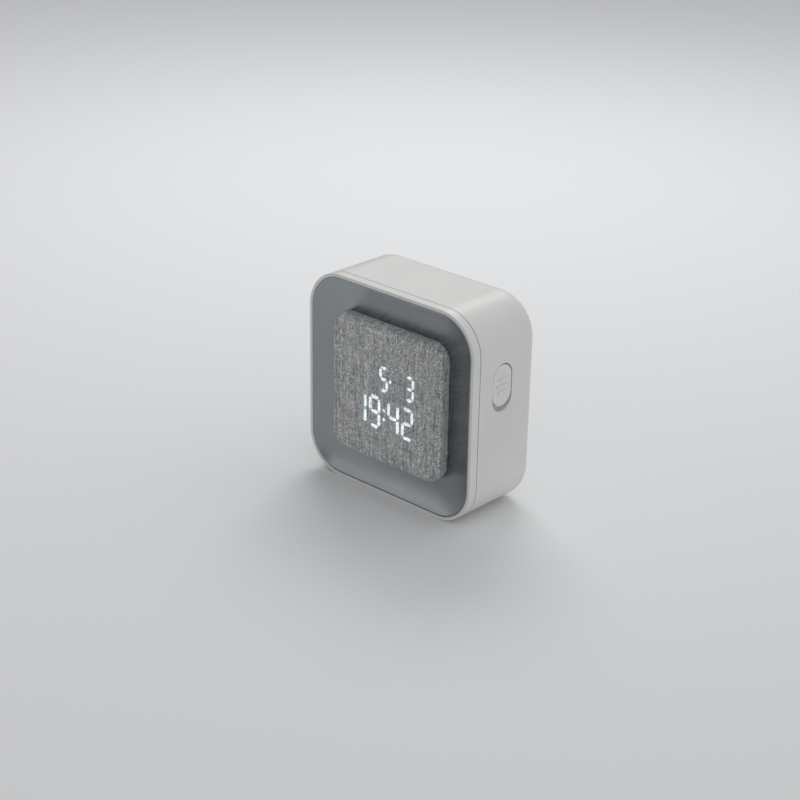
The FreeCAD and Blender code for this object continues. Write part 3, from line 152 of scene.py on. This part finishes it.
# A moulded, cast or painted surface: the colour drifts over the part, and a grain with a real
# size breaks up both the gloss and the relief.
DRIFT_SIZE = 28.0
FINE_DETAIL = 3.0
GRAIN_SHINIER = 0.05
GRAIN_DULLER = 0.07
GRAIN_STRENGTH = 0.4


def make_moulded(name, low_hex, high_hex, roughness, grain=0.35, depth=0.02, **settings):
    material, tree, shader = new_material(name, **settings)
    place = in_millimetres(tree)
    drift = spread(tree, noise(tree, place, DRIFT_SIZE, FINE_DETAIL), NOISE_LOW, NOISE_HIGH)
    tree.links.new(blend_colours(tree, drift, low_hex, high_hex), shader.inputs["Base Color"])
    speck = noise(tree, place, grain, FINE_DETAIL)
    shiny, dull = roughness - GRAIN_SHINIER, roughness + GRAIN_DULLER
    gloss = spread(tree, speck, NOISE_LOW, NOISE_HIGH, shiny, dull)
    tree.links.new(gloss, shader.inputs["Roughness"])
    set_height(tree, shader, speck, depth, GRAIN_STRENGTH)
    return material


# A metal surface with rolling or turning marks drawn out along one axis
MARK_SIZE = 0.2
MARK_LOW = 0.25
MARK_HIGH = 0.75
MARK_SHINIER = 0.08
MARK_DULLER = 0.12
MARK_DEPTH = 0.01
MARK_STRENGTH = 0.5
CLOUD_SIZE = 3.0


def make_metal(name, low_hex, high_hex, roughness, stretch):
    material, tree, shader = new_material(name, Metallic=1.0)
    marks = noise(tree, in_millimetres(tree, stretch), MARK_SIZE, FINE_DETAIL)
    cloud = noise(tree, in_millimetres(tree), CLOUD_SIZE, FINE_DETAIL)
    tree.links.new(blend_colours(tree, cloud, low_hex, high_hex), shader.inputs["Base Color"])
    shiny, dull = roughness - MARK_SHINIER, roughness + MARK_DULLER
    gloss = spread(tree, marks, MARK_LOW, MARK_HIGH, shiny, dull)
    tree.links.new(gloss, shader.inputs["Roughness"])
    set_height(tree, shader, marks, MARK_DEPTH, MARK_STRENGTH)
    return material


def dress(material, *nodes):
    for node in nodes:
        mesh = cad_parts[node].data
        mesh.materials.clear()
        mesh.materials.append(material)


# Studio: a plain pale floor under a pale surround, with one soft box above and behind the clock
# and a wide low one in front of it at the left, as the photograph's soft shadows show.
FLOOR_HALF = 3.0
PAPER_TOOTH = 1.2
floor_mesh = bpy.data.meshes.new("floor")
sheet = bmesh.new()
bmesh.ops.create_grid(sheet, x_segments=2, y_segments=2, size=FLOOR_HALF)
sheet.to_mesh(floor_mesh)
sheet.free()
floor = bpy.data.objects.new("floor", floor_mesh)
bpy.context.scene.collection.objects.link(floor)
floor_paper, tree, shader = new_material("matt_studio_paper", Roughness=0.9)
tooth = noise(tree, in_millimetres(tree), PAPER_TOOTH)
tree.links.new(blend_colours(tree, tooth, "dedfe0", "e2e3e4"), shader.inputs["Base Color"])
floor_mesh.materials.append(floor_paper)

# The surround is brightest towards one side and falls off evenly towards the other.
BRIGHT_SIDE = (0.9, 0.1, 0.42)
DIMMEST_AT = -0.6
DIMMEST = 0.2
world = bpy.data.worlds.new("studio")
world.use_nodes = True
bpy.context.scene.world = world
tree = world.node_tree
room = tree.nodes["Background"]
room.inputs["Color"].default_value = to_linear("f4f5f6")
way = add_node(tree, "ShaderNodeTexCoord").outputs["Generated"]
facing = add_node(
    tree, "ShaderNodeVectorMath", {"operation": "DOT_PRODUCT", 1: BRIGHT_SIDE}, {0: way}
).outputs["Value"]
tree.links.new(spread(tree, facing, low=DIMMEST_AT, to_low=DIMMEST), room.inputs["Strength"])


def add_softbox(name, place, aim, width, height, power):
    lamp = bpy.data.lights.new(name, "AREA")
    lamp.shape = "RECTANGLE"
    lamp.size = width
    lamp.size_y = height
    lamp.energy = power
    box = bpy.data.objects.new(name, lamp)
    box.location = place
    box.rotation_euler = (Vector(aim) - Vector(place)).to_track_quat("-Z", "Y").to_euler()
    bpy.context.scene.collection.objects.link(box)


add_softbox(
    "back_softbox", place=(-0.36, 0.43, 0.65), aim=(0.0, 0.0, 0.03),
    width=0.5, height=0.36, power=2.7,
)
add_softbox(
    "front_softbox", place=(-0.78, -0.86, 0.17), aim=(0.0, 0.0, 0.05),
    width=0.9, height=0.32, power=0.6,
)

# Front bezel and housing: injection moulded white ABS. The bezel's spigot fits into the tub. The
# tool is finely spark eroded, so the wall has a soft satin grain of about a third of a
# millimetre, and no gloss.
white_abs = make_moulded("white_abs", "cfcecc", "d6d5d3", roughness=0.42, IOR=1.54)
dress(white_abs, "front_bezel", "housing")

# Dish panel: moulded ABS with a satin grey metallic paint, seated on the bezel's ledge. Its
# hollow takes the soft light as broad bands, bright at the foot and dark at the right.
satin_grey = make_moulded(
    "satin_grey_paint", "8f9497", "979c9f", roughness=0.24, grain=0.2, depth=0.003,
    Metallic=0.95, IOR=1.5,
)
dress(satin_grey, "dish_panel")

# Display board, connector and lamp chips: a small glass epoxy board behind the cloth. One chip
# stands at the foot of each well, and the connector reaches back through the dish.
BOARD_CLOUD = 9.0
TRACKS_IN_MM = 0.35
TRACK_WANDER = 3.0
TRACK_DETAIL = 0.4
TRACK_LOW = 0.72
TRACK_HIGH = 0.8
TRACK_COVER = 0.7
TRACK_DEPTH = 0.035
TRACK_STRENGTH = 0.6


def make_board(name, low_hex, high_hex, track_hex):
    material, tree, shader = new_material(name, Roughness=0.32, IOR=1.55)
    place = in_millimetres(tree)
    cloud = noise(tree, place, BOARD_CLOUD, FINE_DETAIL)
    mask_colour = blend_colours(tree, cloud, low_hex, high_hex)
    wave = {"Scale": TRACKS_IN_MM, "Distortion": TRACK_WANDER, "Detail Scale": TRACK_DETAIL}
    bands = add_node(tree, "ShaderNodeTexWave", wave, {"Vector": place})
    tracks = spread(tree, bands.outputs[1], TRACK_LOW, TRACK_HIGH, to_high=TRACK_COVER)
    copper = add_node(tree, "ShaderNodeRGB")
    copper.outputs[0].default_value = to_linear(track_hex)
    colour = lay_over(tree, tracks, mask_colour, copper.outputs[0])
    tree.links.new(colour, shader.inputs["Base Color"])
    set_height(tree, shader, tracks, TRACK_DEPTH, TRACK_STRENGTH)
    return material


green_board = make_board("green_glass_epoxy", "14502f", "195a36", "23744a")
dress(green_board, "display_board", "main_board", "key_boards", "switch_board")
black_nylon = make_moulded("black_nylon", "1c1d1e", "26272a", roughness=0.45, IOR=1.53)
dress(black_nylon, "display_connector", "slider_clip")

RESIN_CLOUD = 0.5
RESIN_SHINY = 0.2
RESIN_DULL = 0.35
lamp_epoxy, tree, shader = new_material("lamp_epoxy", IOR=1.5)
resin = noise(tree, in_millimetres(tree), RESIN_CLOUD)
tree.links.new(blend_colours(tree, resin, "e8e2b4", "f4f0d2"), shader.inputs["Base Color"])
resin_gloss = spread(tree, resin, NOISE_LOW, NOISE_HIGH, RESIN_SHINY, RESIN_DULL)
tree.links.new(resin_gloss, shader.inputs["Roughness"])
dress(lamp_epoxy, "led_chips")

# Display block: a white reflector with a well for each bar. Clear acrylic light guides fill the
# wells, frosted at their front ends so that a bar lights evenly.
FROST_SIZE = 0.15
FROST_SHINY = 0.35
FROST_DULL = 0.6
white_reflector = make_moulded(
    "white_polycarbonate", "e6e7e6", "efefee", roughness=0.3, IOR=1.585
)
dress(white_reflector, "display_block")
frosted, tree, shader = new_material("frosted_acrylic", IOR=1.49, Transmission_Weight=0.6)
frost = noise(tree, in_millimetres(tree), FROST_SIZE, FINE_DETAIL)
tree.links.new(blend_colours(tree, frost, "dfeaea", "eef6f6"), shader.inputs["Base Color"])
frost_gloss = spread(tree, frost, NOISE_LOW, NOISE_HIGH, FROST_SHINY, FROST_DULL)
tree.links.new(frost_gloss, shader.inputs["Roughness"])
dress(frosted, "light_guides")

# Pad carrier: a black moulded tray with a window for the display. Four screws hold it from
# behind the dish.
black_abs = make_moulded("black_abs", "1f2021", "2a2b2c", roughness=0.5, IOR=1.54)
dress(black_abs, "pad_carrier")

# Cloth cover: one square of grey melange linen weave, stretched over the tray, gathered round
# its corners and glued at its foot. The lit bars of the digits are a glow painted on the weave.
CORE_STEP = 0.25 * MM
CORE_RINGS = 68
FLAT_RINGS = 12
EDGE_RINGS = 7
WALL_RINGS = 4
CLOTH_THICKNESS = 0.55 * MM
PAD_CORNER = 7.6 * MM
PAD_ROUND = 2.2 * MM
cloth_low, cloth_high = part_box("fabric_cover")
half_pad = (cloth_high.x - cloth_low.x) / 2
pad_middle = (cloth_high.z + cloth_low.z) / 2

# Each ring of the cloth: how far out it lies, how far back, its corner radius, and its distance
# from the middle of the flat cloth.
flat_half = half_pad - PAD_ROUND
core_half = CORE_STEP * CORE_RINGS
corner_middle = half_pad - PAD_CORNER
core_places = [CORE_STEP * step for step in range(CORE_RINGS + 1)]
rings = [(out, cloth_low.y, 0.0, out) for out in core_places]
for step in range(1, FLAT_RINGS + 1):
    share = step / FLAT_RINGS
    out = core_half + (flat_half - core_half) * share
    rings.append((out, cloth_low.y, (flat_half - corner_middle) * share, out))
for step in range(1, EDGE_RINGS + 1):
    turn = math.pi / 2 * step / EDGE_RINGS
    out = flat_half + PAD_ROUND * math.sin(turn)
    back = cloth_low.y + PAD_ROUND * (1 - math.cos(turn))
    rings.append((out, back, out - corner_middle, flat_half + PAD_ROUND * turn))
wall = cloth_high.y - cloth_low.y - PAD_ROUND
edge_end = flat_half + PAD_ROUND * math.pi / 2
for step in range(1, WALL_RINGS + 1):
    drop = wall * step / WALL_RINGS
    back = cloth_low.y + PAD_ROUND + drop
    rings.append((half_pad, back, PAD_CORNER, edge_end + drop))


# A point of the unit square's ring, moved to the rounded square of that ring
def round_off(across, up, out, radius):
    if abs(across) < abs(up):
        up_side, side = round_off(up, across, out, radius)
        return side, up_side
    reach = abs(up) * out
    straight = out - radius
    if reach <= straight or radius == 0:
        return math.copysign(out, across), math.copysign(reach, up)
    turn = (reach - straight) / radius * math.pi / 4
    x = straight + radius * math.cos(turn)
    z = straight + radius * math.sin(turn)
    return math.copysign(x, across), math.copysign(z, up)


# Where a point of the cloth lay when the cloth was flat, along one axis. Its way past the
# straight part is longer there by the slack, which is a share of the corner's radius.
def lay_flat(place, straight, slack):
    return place + (place - max(-straight, min(straight, place))) * slack


# The display's digits, in millimetres: which bars are lit, where the digit's middle stands, its
# width, its height and its bar's width. A bar is named by its place as shares of the digit's
# half width and half height, and whether it lies flat.
BAR_SHARES = {
    "a": (0.0, 1.0, True), "b": (1.0, 0.5, False), "c": (1.0, -0.5, False),
    "d": (0.0, -1.0, True), "e": (-1.0, -0.5, False), "f": (-1.0, 0.5, False),
    "g": (0.0, 0.0, True),
}
BAR_GAP = 0.8
LIT_DIGITS = (
    ("bc", -12.95, 37.5, 6.4, 14.2, 1.4), ("abcdfg", -5.15, 37.5, 6.4, 14.2, 1.4),
    ("bcfg", 5.15, 37.5, 6.4, 14.2, 1.4), ("abdeg", 12.95, 37.5, 6.4, 14.2, 1.4),
    ("acdfg", -0.3, 53.1, 4.8, 11.0, 1.23), ("abcdg", 13.9, 53.1, 4.8, 11.0, 1.23),
)
LIT_DOTS = ((0.0, 39.45), (0.0, 35.55), (3.25, 53.1))
DOT_RADIUS = 0.65
lit_bars = []
for lit, x, z, width, height, bar in LIT_DIGITS:
    across, up = (width - bar) / 2, (height - bar) / 2
    for letter in lit:
        across_share, up_share, flat = BAR_SHARES[letter]
        length = (2 * across if flat else up) - BAR_GAP
        place = (x + across * across_share, z + up * up_share)
        lit_bars.append((*place, length / 2, bar / 2, flat))


# How far a point lies outside the nearest lit bar, in millimetres and negative inside it
def from_light(x, z):
    nearest = min(math.hypot(x - dot_x, z - dot_z) - DOT_RADIUS for dot_x, dot_z in LIT_DOTS)
    for bar_x, bar_z, half, tip, flat in lit_bars:
        along, side = abs(x - bar_x), abs(z - bar_z)
        if not flat:
            along, side = side, along
        nearest = min(nearest, max(side - tip, (along + side - half) / math.sqrt(2)))
    return nearest


# The cloth's painted glow stands in for each bar's light: it fades out across the bar's edge, and
# a faint halo spreads round it. No glow is painted on the rings outside the lit ones.
EDGE_GLOW = 0.65
GLOW_FADE = 0.28
HALO_GLOW = 0.03
UNLIT_DISTANCE = 9.0
LIT_RINGS = 82


def find_glow(x, z, ring):
    distance = from_light(x / MM, z / MM) if ring < LIT_RINGS else UNLIT_DISTANCE
    core = max(0.0, min(1.0, EDGE_GLOW - distance / GLOW_FADE))
    return core + HALO_GLOW * math.exp(-max(0.0, distance))


# Small gathers run round each corner below the flat top, and the upper left corner has a tuft
# where the folded cloth stands out most.
CORNER_GATHER = 0.09 * MM
GATHER_COUNT = 5
TUFT = 0.45 * MM
TUFT_TURN = 1.15
TUFT_SPREAD = 0.3
last = len(rings) - 1
top_rings = CORE_RINGS + FLAT_RINGS
cloth = bmesh.new()
bmesh.ops.create_grid(cloth, x_segments=2 * last, y_segments=2 * last, size=last)
glow_layer = cloth.verts.layers.float.new("glow")
flat_places = {}
for vert in cloth.verts:
    across, up = round(vert.co.x), round(vert.co.y)
    ring = max(abs(across), abs(up))
    out, back, radius, travel = rings[ring]
    share_x, share_z = (across / ring, up / ring) if ring else (0.0, 0.0)
    x, z = round_off(share_x, share_z, out, radius)
    straight = out - radius
    slack = (travel - out) / radius if radius else 0.0
    flat_places[vert] = [lay_flat(part, straight, slack) / MM for part in (x, z)]
    corner = min(abs(share_x), abs(share_z)) * out - straight
    if radius and corner > 0 and ring > top_rings:
        turn = math.atan2(abs(z) - straight, abs(x) - straight)
        depth_share = (ring - top_rings) / (last - top_rings)
        fold = CORNER_GATHER * math.sin(4 * GATHER_COUNT * turn) * depth_share
        if across < 0 < up:
            fold += TUFT * math.exp(-((turn - TUFT_TURN) / TUFT_SPREAD) ** 2) * depth_share
        x += math.copysign(fold * math.cos(turn), x)
        z += math.copysign(fold * math.sin(turn), z)
    vert.co = (x, back, pad_middle + z)
    vert[glow_layer] = find_glow(x, pad_middle + z, ring)
thread_map = cloth.loops.layers.uv.new("threads")
for face in cloth.faces:
    face.smooth = True
    for loop in face.loops:
        loop[thread_map].uv = flat_places[loop.vert]
bmesh.ops.recalc_face_normals(cloth, faces=cloth.faces)
if min(cloth.faces, key=lambda face: face.calc_center_median().length).normal.y > 0:
    bmesh.ops.reverse_faces(cloth, faces=cloth.faces)
cloth_mesh = bpy.data.meshes.new("cloth_cover")
cloth.to_mesh(cloth_mesh)
cloth.free()
cloth_cover = bpy.data.objects.new("cloth_cover", cloth_mesh)
bpy.context.scene.collection.objects.link(cloth_cover)
wall_modifier = cloth_cover.modifiers.new("thickness", "SOLIDIFY")
wall_modifier.thickness = CLOTH_THICKNESS
wall_modifier.offset = -1.0
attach(cloth_cover, "case")
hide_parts("fabric_cover")

# Grey melange linen: a plain weave of slubby yarns about 0.48 mm apart. Each yarn has its own
# grey, with dark and light runs along the upright ones, and the lit bars are painted on it as a
# glow. The yarns wander a little off the straight.
THREAD_PITCH = 0.48
WANDER = 0.22
WANDERS_IN_MM = 0.55
linen, tree, shader = new_material(
    "grey_melange_linen", Roughness=0.9, Sheen_Weight=0.25, Sheen_Roughness=0.6
)
threads = add_node(tree, "ShaderNodeUVMap", {"uv_map": "threads"}).outputs[0]
sway = add_node(tree, "ShaderNodeTexNoise", {"Scale": WANDERS_IN_MM}, {"Vector": threads})
wander = add_node(
    tree, "ShaderNodeVectorMath", {"operation": "SCALE", "Scale": WANDER}, {0: sway.outputs[1]}
)
threads = add_node(
    tree, "ShaderNodeVectorMath", {"operation": "ADD"}, {0: threads, 1: wander.outputs[0]}
).outputs[0]
split = add_node(tree, "ShaderNodeSeparateXYZ", {}, {0: threads})
warp = calculate(tree, "DIVIDE", split.outputs[0], THREAD_PITCH)
weft = calculate(tree, "DIVIDE", split.outputs[1], THREAD_PITCH)
warp_number = calculate(tree, "FLOOR", warp)
weft_number = calculate(tree, "FLOOR", weft)
both = calculate(tree, "ADD", warp_number, weft_number)
warp_on_top = calculate(tree, "PINGPONG", both, 1.0)


# How high a round yarn stands across its width, from nothing at its edges to one at its middle
def make_yarn_round(place):
    across = calculate(tree, "MULTIPLY", calculate(tree, "FRACT", place), math.pi)
    return calculate(tree, "SINE", across)


# A grey for each yarn: its own tone, and runs of lighter and darker fibre along it
OWN_TONE_SHARE = 0.35
RUN_SHARE = 0.65
RUN_SIZE = 1.7
RUN_LOW = 0.34
RUN_HIGH = 0.66


def yarn_tone(number, along, seed, run_length):
    own = add_node(tree, "ShaderNodeTexWhiteNoise", {"noise_dimensions": "1D"})
    tree.links.new(calculate(tree, "ADD", number, seed), own.inputs["W"])
    slowed = calculate(tree, "DIVIDE", along, run_length)
    where = add_node(tree, "ShaderNodeCombineXYZ", {"Z": seed}, {"X": number, "Y": slowed})
    runs = spread(tree, noise(tree, where.outputs[0], RUN_SIZE), RUN_LOW, RUN_HIGH)
    own_tone = calculate(tree, "MULTIPLY", own.outputs["Value"], OWN_TONE_SHARE)
    return calculate(tree, "ADD", own_tone, calculate(tree, "MULTIPLY", runs, RUN_SHARE))


warp_round = make_yarn_round(warp)
weft_round = make_yarn_round(weft)
warp_tone = yarn_tone(warp_number, weft, seed=7.3, run_length=7.0)
weft_tone = yarn_tone(weft_number, warp, seed=31.7, run_length=1.5)
warp_yarn = blend_colours(tree, warp_tone, "4c4f52", "fafbfb")
weft_yarn = blend_colours(tree, weft_tone, "9a9d9e", "eeefef")
yarn = lay_over(tree, warp_on_top, weft_yarn, warp_yarn)
crown_links = {0: warp_on_top, 2: weft_round, 3: warp_round}
crown = add_node(tree, "ShaderNodeMix", {}, crown_links).outputs[0]

# Where two yarns cross there is a crest, and some crossings are darker than others. Painted shade
# darkens the gaps between the yarns, most at each yarn's edge.
crossing_links = {"X": warp_number, "Y": weft_number}
crossing = add_node(tree, "ShaderNodeCombineXYZ", {}, crossing_links).outputs[0]
stray = add_node(tree, "ShaderNodeTexWhiteNoise", {}, {"Vector": crossing}).outputs["Value"]
crests = calculate(tree, "MULTIPLY", warp_round, weft_round)
painted_gap_shade = spread(tree, crests, high=0.4, to_low=0.3, to_high=1.05)
stray_shade = spread(tree, stray, to_low=0.45, to_high=1.25)
gaps = calculate(tree, "MULTIPLY", painted_gap_shade, stray_shade)
shade = add_node(tree, "ShaderNodeMix", {"data_type": "RGBA", "blend_type": "MULTIPLY", 0: 1.0})
tree.links.new(yarn, shade.inputs[6])
tree.links.new(gaps, shade.inputs[7])
tree.links.new(shade.outputs[2], shader.inputs["Base Color"])
set_height(tree, shader, crown, depth=0.12, strength=0.7)
# Painted glow of the lit bars: the cloth's own emission, strongest on the yarns' crests.
glow = add_node(tree, "ShaderNodeAttribute", {"attribute_name": "glow"}).outputs["Fac"]
crest_light = spread(tree, crests, high=0.6, to_low=0.5)
stray_light = spread(tree, stray, to_low=0.6, to_high=1.25)
through = calculate(tree, "MULTIPLY", crest_light, stray_light)
shader.inputs["Emission Color"].default_value = to_linear("eefcff")
tree.links.new(calculate(tree, "MULTIPLY", glow, through), shader.inputs["Emission Strength"])
cloth_mesh.materials.append(linen)

# Pad, board, key, switch and housing screws: zinc plated steel, turned and thread rolled, each
# driven into a moulded pilot hole
zinc_steel = make_metal(
    "zinc_plated_steel", "a7aaad", "bfc2c5", roughness=0.3, stretch=(1.0, 0.08, 1.0)
)
dress(
    zinc_steel, "pad_screws", "board_screws", "key_screws", "switch_screws", "housing_screws"
)

# Main board: the clock and voice circuit on green glass epoxy, screwed to posts behind the dish.
# Its parts are moulded in black epoxy.
moulded_epoxy = make_moulded(
    "moulded_epoxy", "1a1b1d", "242528", roughness=0.55, grain=0.12, IOR=1.55
)
dress(moulded_epoxy, "board_components")

# Loudspeaker: a pressed steel basket with a ferrite magnet, a paper cone on a rubber roll and a
# foam ring that seals it to the rear wall
FOAM_CELLS_IN_MM = 3.5
FOAM_DEPTH = 0.08
FOAM_STRENGTH = 0.8
pressed_steel = make_metal(
    "pressed_steel", "8f9294", "a6a9ab", roughness=0.38, stretch=(1.0, 1.0, 0.15)
)
dress(pressed_steel, "speaker_frame")
ferrite = make_moulded("ferrite", "3a3c3e", "47494b", roughness=0.55, grain=0.25, IOR=1.6)
dress(ferrite, "speaker_magnet")
cone_paper = make_moulded(
    "pressed_paper", "232323", "303030", roughness=0.85, grain=0.5, depth=0.06, IOR=1.5
)
dress(cone_paper, "speaker_diaphragm")
roll_rubber = make_moulded(
    "nitrile_rubber", "151515", "1f1f1f", roughness=0.6, grain=0.3, IOR=1.52
)
dress(roll_rubber, "speaker_surround")
cell_foam, tree, shader = new_material("eva_foam", IOR=1.45)
foam_links = {"Vector": in_millimetres(tree)}
cells = add_node(tree, "ShaderNodeTexVoronoi", {"Scale": FOAM_CELLS_IN_MM}, foam_links)
from_cell = cells.outputs["Distance"]
# Each foam cell is darker towards its hollow middle: painted shade.
tree.links.new(blend_colours(tree, from_cell, "1a1a1b", "2c2c2e"), shader.inputs["Base Color"])
foam_gloss = spread(tree, from_cell, high=0.6, to_low=0.8, to_high=0.95)
tree.links.new(foam_gloss, shader.inputs["Roughness"])
set_height(tree, shader, from_cell, FOAM_DEPTH, FOAM_STRENGTH)
dress(cell_foam, "speaker_gasket")


# Hook-up leads: stranded wire in vinyl sleeves, with one colour for each group of wires, soldered
# at both ends
def make_sleeves(name, low_hex, high_hex):
    return make_moulded(
        name, low_hex, high_hex, roughness=0.38, grain=0.6, depth=0.01, IOR=1.53
    )


dress(make_sleeves("red_vinyl", "8e1f1c", "a32a25"), "battery_leads")
dress(make_sleeves("black_vinyl", "17181a", "232427"), "speaker_leads")
dress(make_sleeves("grey_vinyl", "6c6e70", "808284"), "key_leads", "switch_leads")

# Side slide switch: a white thumb piece in a recess of the right wall, with three raised grips.
# Its neck carries a nylon clip and the lever of the switch inside.
thumb_abs = make_moulded(
    "thumb_piece_abs", "d2d1cf", "d9d8d6", roughness=0.38, grain=0.3, depth=0.012, IOR=1.54
)
dress(thumb_abs, "side_slider")
acetal = make_moulded("acetal", "2a2b2d", "363739", roughness=0.36, IOR=1.48)
dress(acetal, "switch_lever", "time_plunger", "alarm_plunger", "up_plunger", "down_plunger")
dress(moulded_epoxy, "slide_switch_body", "tact_switches")

# Rear keys: four round caps of moulded white ABS in two recesses. Each is held by its flange
# behind the wall and presses the plunger of its own switch.
key_abs = make_moulded(
    "key_cap_abs", "d2d1cf", "d9d8d6", roughness=0.38, grain=0.3, depth=0.012, IOR=1.54
)
dress(key_abs, "time_button", "alarm_button", "up_button", "down_button")

# Battery bay: nickel plated spring steel contacts at both ends, and coil springs that press each
# cell's flat end
nickel_steel = make_metal(
    "nickel_plated_steel", "b5b3ac", "cfccc4", roughness=0.24, stretch=(0.1, 1.0, 1.0)
)
dress(nickel_steel, "battery_contacts", "battery_springs")

# Cells: steel cans in a shrunk vinyl jacket. The jacket stops short of both ends, where the
# bare can shows, and has a pale band at each end. Both lines are measured from the middle.
CAN_END = 21.3
BAND_START = 17.3
LINE_HALF = 0.1
SCUFF_SIZE = 2.0
SCUFF_DETAIL = 4.0
SCUFF_SHINY = 0.22
SCUFF_DULL = 0.36
jacket, tree, shader = new_material("shrunk_vinyl_jacket", IOR=1.53)
place = in_millimetres(tree)
along = add_node(tree, "ShaderNodeSeparateXYZ", {}, {0: place}).outputs[0]
away = calculate(tree, "ABSOLUTE", along)
bare = spread(tree, away, CAN_END - LINE_HALF, CAN_END + LINE_HALF)
band = spread(tree, away, BAND_START - LINE_HALF, BAND_START + LINE_HALF)
scuffs = noise(tree, place, SCUFF_SIZE, SCUFF_DETAIL)
body_colour = blend_colours(tree, scuffs, "30353b", "3b4148")
band_colour = blend_colours(tree, scuffs, "b9bcc0", "c8cbcf")
can_colour = blend_colours(tree, scuffs, "a8a8a6", "c4c3c0")
colour = lay_over(tree, bare, lay_over(tree, band, body_colour, band_colour), can_colour)
tree.links.new(colour, shader.inputs["Base Color"])
tree.links.new(bare, shader.inputs["Metallic"])
scuff_gloss = spread(tree, scuffs, NOISE_LOW, NOISE_HIGH, SCUFF_SHINY, SCUFF_DULL)
tree.links.new(scuff_gloss, shader.inputs["Roughness"])
dress(jacket, "battery_cells")

# Battery door: a moulded white cover, flush with the rear wall. Two tongues at its foot hold it
# in their slots, and a sprung latch at its top snaps it shut.
door_abs = make_moulded("battery_door_abs", "d0cfcd", "d7d6d4", roughness=0.41, IOR=1.54)
dress(door_abs, "battery_door")
